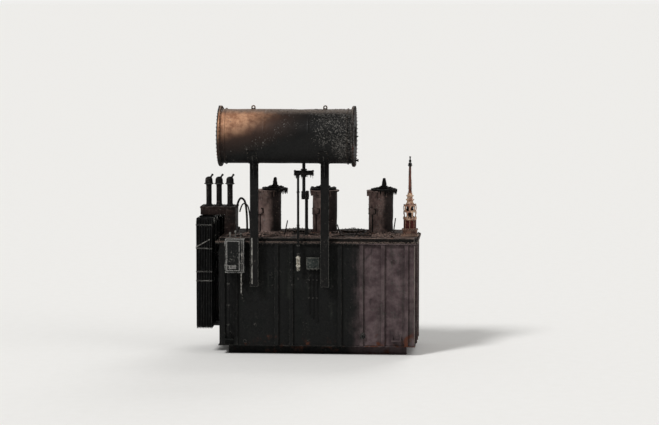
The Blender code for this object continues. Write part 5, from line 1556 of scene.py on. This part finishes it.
def risers():
    """The swan-neck pipes from the wall up to the radiators, each with a flap valve."""
    wall, x, foot, top, slot = LEFT_FACE - SEAT, -2.858, 2.82, RADIATOR_TOP - 0.10, "sooted_paint"
    spots = []
    for number, y in RADIATOR_ROWS.items():
        name = f"radiator_riser_{number}"
        shape = Shape()
        corners = ((wall, y, foot), (x, y, foot), (x, y, top), (-2.9167, y, top))
        shape.tube(bent(corners, 0.045), 0.040, 28)
        shape.discs(at(wall - 0.014, y, foot) @ ALONG_X, 32, (0.076, 0.014))
        shape.discs(at(-2.9165, y, top) @ ALONG_X, 32, (0.064, 0.013))
        shape.discs(at(x, y, 3.30), 28, (0.052, 0.03), ease=0.006)
        shape.piece(f"{name}_pipe", "sooted_steel", slot, name)
        valve = Shape()
        valve.discs(at(-2.9035, y, top) @ ALONG_X, 32, (0.068, 0.010), (0.050, 0.016), ease=0.003)
        valve.box((-2.900, y - 0.012, top + 0.05), (-2.880, y + 0.012, top + 0.096))
        valve.piece(f"{name}_valve", "scraped_bar", slot)
        spots += ring_spots(at(wall - 0.014, y, foot) @ ALONG_X, 6, 0.060, axis=DOWN)
    bolts("riser_bolts", slot, spots, 0.008, 0.008)


# ---------------------------------------------------------------- control cabinet


def cabinet():
    """The cabinet's sheet metal body with its rails and half of each hinge."""
    (left, front, bottom), (right, back, top) = CABINET
    sheet, lip = 0.003, 0.016
    shape = Shape()
    for first, second in (
        ((left, back - sheet, bottom), (right, back, top)),
        ((left, front, bottom), (left + sheet, back, top)),
        ((right - sheet, front, bottom), (right, back, top)),
        ((left, front, top - sheet), (right, back, top)),
        ((left, front, bottom), (right, back, bottom + sheet)),
        ((left, front, bottom), (left + lip, front + sheet, top)),
        ((right - lip, front, bottom), (right, front + sheet, top)),
        ((left, front, top - lip), (right, front + sheet, top)),
        ((left, front, bottom), (right, front + sheet, bottom + lip)),
    ):
        shape.box(first, second, 0.001)
    for share in (0.12, 0.70):
        level = bottom + share * (top - bottom)
        shape.box((left, back - 0.001, level), (right, FRONT_FACE - 0.065 - SEAT, level + 0.06))
    for level in HINGE_LEVELS:
        shape.discs(at(HINGE_X, HINGE_Y, level), 20, (0.011, 0.05), ease=0.001)
        leaf, face = HINGE_X - 0.003, front + 0.018
        shape.box((leaf, HINGE_Y, level), (HINGE_X + 0.003, face, level + 0.05), 0.0008)
        shape.box((leaf, front + 0.006, level), (left + 0.002, face, level + 0.05), 0.0008)
    shape.piece("control_cabinet_body", "cabinet_paint", "sooted_paint", "cabinet_body")
    roof = Shape()
    roof.box((left - 0.006, front + 0.002, top - 0.0165), (right + 0.006, back + 0.006, top - 0.012), 0.001)
    roof.piece("control_cabinet_drip_edge", "scraped_bar", "sooted_paint")


def cabinet_door():
    """The door as a shallow tray with a raised field, its hinge halves, latch, louvres and seal."""
    (left, front, bottom), (right, _, top) = CABINET
    inner, outer, sheet = front - 0.005, HINGE_Y - 0.011, 0.003
    shape = Shape()
    for first, second in (
        ((left, outer, bottom), (right, outer + sheet, top)),
        ((left, outer, bottom), (left + sheet, inner, top)),
        ((right - sheet, outer, bottom), (right, inner, top)),
        ((left, outer, bottom), (right, inner, bottom + sheet)),
        ((left, outer, top - sheet), (right, inner, top)),
    ):
        shape.box(first, second, 0.001)
    shape.box((left + 0.05, outer - 0.004, bottom + 0.06), (right - 0.13, outer + 0.001, top - 0.06), 0.0035)
    for share in (0.28, 0.55):
        level = bottom + share * (top - bottom)
        shape.box((left + 0.03, outer + 0.002, level), (right - 0.03, inner - 0.002, level + 0.03), 0.002)
    for knuckle in HINGE_LEVELS:
        level = knuckle + 0.051
        shape.discs(at(HINGE_X, HINGE_Y, level), 20, (0.011, 0.05), ease=0.001)
        shape.discs(at(HINGE_X, HINGE_Y, level + 0.049), 16, (0.006, 0.012), ease=0.001)
        shape.box((HINGE_X, HINGE_Y - 0.003, level), (left + 0.018, HINGE_Y + 0.003, level + 0.05), 0.0008)
    shape.piece("control_cabinet_door", "cabinet_paint", "sooted_paint", "cabinet_door", body=DOOR_BODY)
    x, z = left + 0.9 * (right - left), (top + bottom) / 2
    latch = Shape()
    latch.box((x - 0.018, outer - 0.006, z - 0.075), (x + 0.018, outer + 0.001, z + 0.075), 0.002)
    latch.discs(at(x, outer - 0.005, z + 0.05) @ TO_FRONT, 24, (0.013, 0.014))
    latch.box((x - 0.009, outer - 0.028, z - 0.070), (x + 0.009, outer - 0.016, z + 0.062), 0.004)
    for start, end in ((z + 0.08, top - 0.05), (z - 0.08, bottom + 0.05)):
        latch.tube([(x, outer - 0.004, start), (x, outer - 0.004, end)], 0.005, 10)
    for level in (z + 0.22, z - 0.22):
        latch.box((x - 0.014, outer - 0.012, level - 0.010), (x + 0.014, outer + 0.001, level + 0.010), 0.002)
    latch.piece("control_cabinet_latch", "scraped_bar", "sooted_paint", body=DOOR_BODY)
    slat = Shape()
    place = at(left + 0.20, outer - 0.006, bottom + 0.11) @ turned(32, "X")
    slat.box((-0.10, -0.007, -0.0012), (0.10, 0.007, 0.0012), 0.0005, place)
    step = (0.0, 0.0, 0.016)
    repeated(slat, "control_cabinet_louvres", "cabinet_paint", "sooted_paint", 7, step, body=DOOR_BODY)
    seal = Shape()
    for x in (left + 0.016, right - 0.016):
        seal.box((x - 0.004, inner - 0.006, bottom + 0.012), (x + 0.004, inner + 0.001, top - 0.012), 0.002)
    seal.piece("control_cabinet_door_seal", "charred_insulation", "sooted_paint", body=DOOR_BODY)


def cabinet_inside():
    """What the fire left in the cabinet: a plate, rails of terminals, relays, ducts and a loom."""
    (left, _, bottom), (right, back, top) = CABINET
    face, slot = back - 0.010, "sooted_paint"
    plate = Shape()
    plate.box((left + 0.03, face - 0.003, bottom + 0.05), (right - 0.03, face, top - 0.05), 0.001)
    for x in (left + 0.06, right - 0.06):
        for z in (bottom + 0.08, top - 0.08):
            plate.discs(at(x, face - 0.003, z) @ TO_FRONT, 12, (0.008, 0.006))
    for level in (bottom + 0.24, bottom + 0.46, bottom + 0.68):
        rail = (right - 0.06, face - 0.003, level + 0.017)
        plate.box((left + 0.06, face - 0.012, level - 0.017), rail, 0.001)
    plate.piece("cabinet_mounting_plate", "smoked_lining", slot)
    for name, level, count, finish in (
        ("lower", 0.24, 38, "charred_insulation"),
        ("upper", 0.46, 22, "smoked_lining"),
    ):
        terminal = Shape()
        low, high = bottom + level - 0.025, bottom + level + 0.025
        terminal.box((left + 0.075, face - 0.050, low), (left + 0.0835, face - 0.010, high), 0.0012)
        repeated(terminal, f"cabinet_terminals_{name}", finish, slot, count, (0.0098, 0.0, 0.0))
    relay = Shape()
    x, low = left + 0.075, bottom + 0.640
    relay.box((x, face - 0.085, low), (x + 0.05, face - 0.010, low + 0.095), 0.004)
    relay.box((x + 0.01, face - 0.092, low + 0.025), (x + 0.04, face - 0.083, low + 0.070), 0.002)
    repeated(relay, "cabinet_relays", "charred_insulation", slot, 5, (0.068, 0.0, 0.0))
    duct = Shape()
    for level in (bottom + 0.335, bottom + 0.555):
        duct.box((left + 0.055, face - 0.045, level), (right - 0.055, face - 0.003, level + 0.04))
    duct.piece("cabinet_wire_ducts", "smoked_lining", slot)
    bend = random.Random(21)
    loom, bare = Shape(), Shape()
    for number in range(16):
        x = left + 0.09 + number * 0.022
        reach = bend.uniform(0.045, 0.085)
        route = [
            (x, face - 0.040, bottom + 0.215),
            (x + bend.uniform(-0.01, 0.01), face - reach, bottom + 0.165),
            (left + 0.07 + number * 0.012, face - reach * 0.9, bottom + 0.085),
            (left + 0.055 + number * 0.005, face - 0.12 + bend.uniform(-0.02, 0.02), bottom + 0.006),
        ]
        wires = bare if number % 4 == 3 else loom
        wires.tube(curve_through(route, 7), 0.0035, 8)
    loom.piece("cabinet_burnt_loom", "charred_insulation", slot)
    bare.piece("cabinet_bared_wires", "bared_copper", slot)


def conduits():
    """The conduit below the cabinet with its clips, and a thin drain pipe beside it."""
    (left, front, bottom), (_, back, _) = CABINET
    x, y, foot = left + 0.07, (front + back) / 2, 0.60
    shape = Shape()
    corners = ((x, y, bottom - SEAT), (x, y, foot), (x, FRONT_FACE - SEAT, foot))
    shape.tube(bent(corners, 0.09), 0.0298, 24)
    shape.discs(at(x, y, bottom - 0.031), 6, (0.042, 0.03), ease=0.003)
    shape.discs(at(x, FRONT_FACE - SEAT, foot) @ TO_FRONT, 28, (0.050, 0.012))
    for level in (2.0, 1.4, 0.85):
        shape.box((x - 0.042, y - 0.034, level), (x + 0.042, y + 0.040, level + 0.03), 0.004)
        shape.box((x - 0.012, y + 0.03, level), (x + 0.012, FRONT_FACE - 0.001, level + 0.03))
    shape.piece("cabinet_conduit_run", "sooted_steel", "sooted_paint", "cabinet_conduit")
    x, y = -2.07, y - 0.02
    pale = Shape()
    corners = ((x, y, bottom - SEAT), (x, y, 1.73), (x, FRONT_FACE + 0.002, 1.66))
    pale.tube(bent(corners, 0.06), 0.016, 18)
    pale.discs(at(x, y, bottom - 0.025), 6, (0.026, 0.024), ease=0.003)
    pale.box((x - 0.024, y - 0.022, 2.0), (x + 0.024, FRONT_FACE - 0.001, 2.022))
    pale.piece("cabinet_drain_pipe", "scraped_bar", "sooted_paint")


def junction_box():
    """The terminal box on the front wall, with its screws and three small conduits."""
    (left, front, bottom), (right, back, top) = span("junction_box")
    y, glands = (front + back) / 2, (left + 0.07, left + 0.18, left + 0.29)
    shape = Shape()
    shape.box((left + 0.006, front + 0.012, bottom + 0.006), (right - 0.006, back, top - 0.006), 0.004)
    shape.box((left, front, bottom), (right, front + 0.014, top), 0.004)
    shape.box((left + 0.02, front - 0.003, bottom + 0.02), (right - 0.02, front + 0.002, top - 0.02), 0.002)
    for x in glands:
        shape.discs(at(x, y, bottom - 0.034), 6, (0.020, 0.018), (0.015, 0.022))
    shape.piece("terminal_box", "terminal_box_paint", "scorched_paint", "junction_box")
    levels = (bottom + 0.012, (bottom + top) / 2, top - 0.012)
    spots = [((x, front, z), (0, -1, 0)) for x in (left + 0.012, right - 0.012) for z in levels]
    bolts("terminal_box_screws", "scorched_paint", spots, 0.006, 0.006)
    pipes = Shape()
    for x, foot in zip(glands, (1.20, 1.08, 0.96)):
        corners = ((x, y, bottom - 0.02), (x, y, foot), (x, FRONT_FACE + 0.004, foot - 0.06))
        pipes.tube(bent(corners, 0.05, 6), 0.011, 14)
        for level in (2.1, 1.6):
            pipes.box((x - 0.018, y - 0.016, level), (x + 0.018, FRONT_FACE - 0.001, level + 0.018), 0.002)
    pipes.piece("terminal_box_conduits", "sooted_steel", "scorched_paint")


# ---------------------------------------------------------------- tank


def tank_details():
    """Rim bolts, rib and foot welds, manhole bolts and handles, lifting lugs, earth pads and drain valve."""
    spots = []
    for y in (FRONT_FACE - RIM_MIDDLE, REAR_FACE + RIM_MIDDLE):
        for x in even(-2.74, 2.74, 45):
            spots += [((x, y, FLANGE_TOP), UP), ((x, y, RIM_UNDERSIDE), DOWN)]
    for x in (LEFT_FACE - RIM_MIDDLE, RIGHT_FACE + RIM_MIDDLE):
        for y in even(FRONT_FACE - RIM_MIDDLE, REAR_FACE + RIM_MIDDLE, 22)[1:-1]:
            spots.append(((x, y, FLANGE_TOP), UP))
            if abs(y) < 1.27:
                spots.append(((x, y, RIM_UNDERSIDE), DOWN))
    bolts("tank_rim_bolts", "sooted_paint", spots, 0.019, 0.018)
    lines = []
    for _, turns, distance, half_length, shares in WALLS:
        for share in shares:
            for x in (share * half_length - HALF_RIB, share * half_length + HALF_RIB):
                ends = [Vector((x, -distance, z)) for z in (WALL_FOOT, RIM_UNDERSIDE)]
                lines.append([turned(90 * turns) @ end for end in ends])
    beads("tank_rib_welds", "sooted_paint", lines, 0.007, 0.035)
    left, right, front, back = LEFT_FACE, RIGHT_FACE, FRONT_FACE, REAR_FACE
    around = [(left, front), (right, front), (right, back), (left, back), (left, front)]
    beads("tank_foot_weld", "sooted_paint", [[(x, y, WALL_FOOT + 0.0027) for x, y in around]], 0.008, 0.035)
    spots = []
    for x, y in MANHOLES:
        spots += ring_spots(at(x, y, COVER_TOP), 16, 0.33, 0.06)
    bolts("manhole_bolts", "ash_coated_steel", spots, 0.013, 0.014)
    handles = Shape()
    for x, y in MANHOLES:
        for side in (-0.14, 0.14):
            handles.handle(at(x, y + side, COVER_TOP), 0.06, 0.055, 0.10, 0.02)
    for x, y in ((-2.45, -1.10), (2.10, -1.10), (-2.45, 1.10), (2.45, 1.10)):
        low, high = (x - 0.05, y - 0.012, COVER_TOP - 0.004), (x + 0.05, y + 0.012, COVER_TOP + 0.07)
        handles.box(low, high, 0.006)
        handles.discs(at(x, y + 0.014, COVER_TOP + 0.045) @ TO_FRONT, 24, (0.030, 0.028))
    handles.piece("cover_handles_and_lugs", "ashen_cover", "ash_coated_steel")
    valve = Shape()
    x, z, stem = 1.30, 0.55, FRONT_FACE - 0.0755
    flange = (0.070, 0.016)
    valve.discs(at(x, FRONT_FACE + 0.0015, z) @ TO_FRONT, 36, flange, (0.040, 0.05), flange, ease=0.003)
    valve.discs(at(x, stem, z - 0.04), 32, (0.036, 0.09), ease=0.010)
    valve.discs(at(x, stem, z + 0.045), 16, (0.014, 0.05))
    valve.hand_wheel(at(x, stem, z + 0.095), 32, 0.045, 0.006, 2)
    for x, y, outer in ((-2.0, FRONT_FACE, FRONT_FACE - 0.018), (1.95, REAR_FACE, REAR_FACE + 0.018)):
        valve.box((x - 0.04, y, 0.33), (x + 0.04, outer, 0.41))
    valve.piece("drain_valve_and_earth_pads", "sooted_steel", "sooted_paint")


def bowed_sheets():
    """The wall plates between the ribs, bowed out by heat and pressure."""
    low, high = WALL_FOOT + 0.03, RIM_UNDERSIDE - 0.02
    columns, rows, most = 12, 36, 0.024
    for name, turns, distance, half_length, shares in WALLS:
        ends = [-half_length + 0.02]
        for share in shares:
            ends += [share * half_length - HALF_RIB - 0.012, share * half_length + HALF_RIB + 0.012]
        ends.append(half_length - 0.02)
        shape = Shape()
        for left, right in zip(ends[::2], ends[1::2]):
            if right - left < 0.12:
                continue
            part = bmesh.new()
            grid = []
            for row, level in enumerate(even(low, high, rows + 1)):
                line = []
                for column, x in enumerate(even(left, right, columns + 1)):
                    arch = math.sin(math.pi * column / columns) * math.sin(math.pi * row / rows) ** 0.4
                    wave = 0.55 + 0.9 * rippled((x * 1.3 + turns * 7, level * 0.9, turns), 2)
                    bow = most * arch * min(1.0, max(0.12, wave)) * min(1.0, (right - left) / 0.6)
                    line.append(part.verts.new((x, 0.001 - distance - bow, level)))
                grid.append(line)
            for lower, upper in zip(grid, grid[1:]):
                for step in range(columns):
                    part.faces.new((lower[step], lower[step + 1], upper[step + 1], upper[step]))
            rim = [edge for edge in part.edges if edge.is_boundary]
            pushed = bmesh.ops.extrude_edge_only(part, edges=rim)["geom"]
            back = [item for item in pushed if isinstance(item, bmesh.types.BMVert)]
            bmesh.ops.translate(part, verts=back, vec=(0, 0.004, 0))
            edges = [item for item in pushed if isinstance(item, bmesh.types.BMEdge)]
            bmesh.ops.contextual_create(part, geom=edges)
            shape.take(part, turned(90 * turns))
        slot = "scorched_paint" if name == "right" else "sooted_paint"
        shape.piece(f"tank_{name}_sheets", "tank_paint", slot, angle=60)


def skin(radius, start, end, low, high, place):
    """A band of a cylinder's side, from one distance along it to another and one angle to another."""
    count = 17
    turns = even(low, high, count)
    points = [
        place @ Vector((radius * math.sin(turn), -radius * math.cos(turn), height))
        for height in (start, end)
        for turn in turns
    ]
    faces = [(step, step + 1, step + 1 + count, step + count) for step in range(count - 1)]
    return plain_mesh(points, faces=faces)


def paint_scales():
    """Curled scales of burnt paint on the right half of the conservator and on the turrets."""
    long, burnt = SHELL_LENGTH, ("curled_paint", "burnt_shell")
    right = skin(SHELL_RADIUS, long - 1.15, long - 0.20, 0.9, 5.0, SHELL_START)
    between = skin(SHELL_RADIUS, long - 2.1, long - 1.1, 1.2, 4.6, SHELL_START)
    areas = [("conservator_scales_right", right, 110.0, 0.022, *burnt)]
    areas.append(("conservator_scales_middle", between, 26.0, 0.018, *burnt))
    for number, (x, y) in TURRETS.items():
        surface = skin(0.349, 0.08, 1.1, 0.0, 6.28, at(x, y, TURRET_FOOT))
        areas.append((f"hv_turret_{number}_scales", surface, 60.0, 0.016, "ashen_turret", "ash_coated_steel"))
    for seed, (name, mesh, density, size, finish, slot) in enumerate(areas, 60):
        dress(grown(mesh, CURLS, finish, Density=density, Size=size, Seed=seed), name, slot, angle=50)


def cover_debris():
    """Rubble on the cover, a burnt vent pipe beside the low voltage box, and stubs of burnt conduit."""
    level, slot = COVER_TOP + 0.004, "ash_coated_steel"
    middles = [x for x, _ in TURRETS.values()]
    heaps = [((x - 0.62, -1.10), (x + 0.62, 0.30), level) for x in middles]
    rubble("cover_rubble_coarse", slot, heaps, 70.0, 0.038, 3)
    rubble("cover_rubble_fine", slot, [((-2.62, -1.22), (2.25, 1.20), level)], 260.0, 0.015, 6, detail=1)
    near = [((-2.10, -0.95), (-0.75, 0.05), level), ((1.60, -0.75), (2.28, -0.05), level)]
    rubble("cover_rubble_heap", slot, near, 300.0, 0.052, 12, largest=1.15)
    chips = [((x - 0.45, 0.02), (x + 0.45, 0.14), level) for x in middles]
    rubble("porcelain_chips", slot, chips, 130.0, 0.040, 17, "smoked_porcelain", 0.5)
    foot = 3.285
    points = [(-2.36, -0.10, 4.00), (-2.30, -0.12, 4.20), (-2.22, -0.16, 4.28), (-2.12, -0.20, 4.20)]
    points += [(-2.07, -0.22, 3.95), (-2.05, -0.23, 3.60), (-2.05, -0.23, foot)]
    beside = [(x + 0.10, y - 0.12, foot + (z - foot) * 0.86) for x, y, z in points]
    vent = Shape()
    vent.tube(curve_through(points, 8), 0.030, 18)
    vent.tube(curve_through(beside, 8), 0.020, 16)
    vent.discs(at(-2.05, -0.23, COVER_TOP), 28, (0.050, 0.014))
    vent.discs(at(-1.95, -0.35, COVER_TOP), 28, (0.040, 0.014))
    vent.piece("lv_box_vent_pipe", "charred_fitting", "burnt_box")
    stubs = Shape()
    for x, y, height, lean in (
        (-0.95, -0.70, 0.42, 12),
        (0.62, -0.55, 0.30, -16),
        (1.05, -0.85, 0.22, 25),
        (2.05, 0.75, 0.36, 8),
    ):
        stubs.discs(at(x, y, COVER_TOP - 0.004) @ turned(lean, "Y"), 18, (0.034, 0.03), (0.016, height))
    for (x, y), (end_x, end_y) in (
        ((-2.3, -0.95), (-1.1, -0.78)),
        ((0.4, -0.95), (1.5, -0.72)),
        ((-1.0, -0.35), (0.0, -0.62)),
    ):
        crest = ((x + end_x) / 2, (y + end_y) / 2 + 0.06, COVER_TOP + 0.05)
        route = [(x, y, COVER_TOP + 0.02), crest, (end_x, end_y, COVER_TOP + 0.018)]
        stubs.tube(curve_through(route, 10), 0.016, 12)
    stubs.piece("cover_burnt_conduits", "charred_fitting", slot)
    small = Shape()
    for x, y, height in ((-2.42, -1.20, 0.13), (-2.27, -1.17, 0.17), (-2.12, -1.21, 0.10)):
        steps = ((0.034, 0.012), (0.018, height - 0.05), (0.030, 0.05))
        small.discs(at(x, y, COVER_TOP - 0.002), 20, *steps, ease=0.003)
    small.piece("cover_small_fittings", "scraped_bar", slot)


# ---------------------------------------------------------------- view, light and backdrop


def aimed(name, data, direction):
    """Adds a camera or a lamp that looks along a direction."""
    placed = bpy.data.objects.new(name, data)
    placed.rotation_euler = Vector(direction).to_track_quat("-Z", "Y").to_euler()
    bpy.context.scene.collection.objects.link(placed)
    return placed


def camera_and_light():
    """The photograph's view: a long lens, 65 m away and about 10 m up, a little to the right."""
    distance, height, side = 64.8, 9.86, math.radians(4.5)
    focal_pixels, width, sensor = 2300.0, 659.0, 36.0
    above_horizon, off_centre = 212.5, 9.5  # pixels
    pitch = math.atan(above_horizon / focal_pixels)
    heading = math.radians(90) + side - math.atan(off_centre / focal_pixels)
    forward = (math.cos(heading) * math.cos(pitch), math.sin(heading) * math.cos(pitch), -math.sin(pitch))
    data = bpy.data.cameras.new("view")
    data.sensor_width = sensor
    data.lens = focal_pixels / width * sensor
    data.clip_end = 20000.0
    camera = aimed("view", data, forward)
    camera.location = (distance * math.sin(side), -distance * math.cos(side), height)
    bpy.context.scene.camera = camera
    for name, strength, angle, direction in (
        ("key_light", 2.0, 12, (0.50, 0.62, -0.78)),
        ("fill_light", 0.45, 40, (-0.80, 0.35, -0.40)),
        ("back_light", 0.8, 30, (-0.25, -0.80, -0.60)),
    ):
        lamp = bpy.data.lights.new(name, "SUN")
        lamp.energy = strength
        lamp.angle = math.radians(angle)
        aimed(name, lamp, direction)


def backdrop():
    """A plain pale floor that runs to the horizon, and an even pale sky."""
    reach = 6000.0
    corners = [(-reach, -reach, 0), (reach, -reach, 0), (reach, reach, 0), (-reach, reach, 0)]
    mesh = plain_mesh(corners, faces=[(0, 1, 2, 3)])
    floor = bpy.data.objects.new("studio_floor", mesh)
    bpy.context.scene.collection.objects.link(floor)
    made = bpy.data.materials.new("studio_floor")
    made.use_nodes = True
    tree = made.node_tree
    speck = grain(tree, put(tree, "ShaderNodeTexCoord").outputs["Object"], 3.0, 6.0)
    shader = tree.nodes["Principled BSDF"]
    feed(tree, shader.inputs["Base Color"], mix(tree, speck, "eeedea", "f3f2f0"))
    feed(tree, shader.inputs["Roughness"], 1.0)
    feed(tree, shader.inputs["Specular IOR Level"], 0.0)
    mesh.materials.append(made)
    world = bpy.data.worlds.new("studio")
    world.use_nodes = True
    bpy.context.scene.world = world
    tree = world.node_tree
    sky = tree.nodes["Background"]
    seen = put(tree, "ShaderNodeLightPath").outputs["Is Camera Ray"]
    feed(tree, sky.inputs["Strength"], spread(tree, seen, 0.0, 1.0, 0.36, 0.97))
    feed(tree, sky.inputs["Color"], "f3f2f0")


bpy.context.scene.view_settings.view_transform = "Standard"
for build in (
    camera_and_light,
    backdrop,
    kept_nodes,
    conservator,
    end_covers,
    level_gauge,
    legs,
    cross_pipe,
    oil_pipes,
    breather,
    turrets,
    bushing_remains,
    neutral_bushing,
    lv_chamber,
    lv_bushings,
    radiators,
    risers,
    cabinet,
    cabinet_door,
    cabinet_inside,
    conduits,
    junction_box,
    tank_details,
    bowed_sheets,
    paint_scales,
    cover_debris,
):
    build()
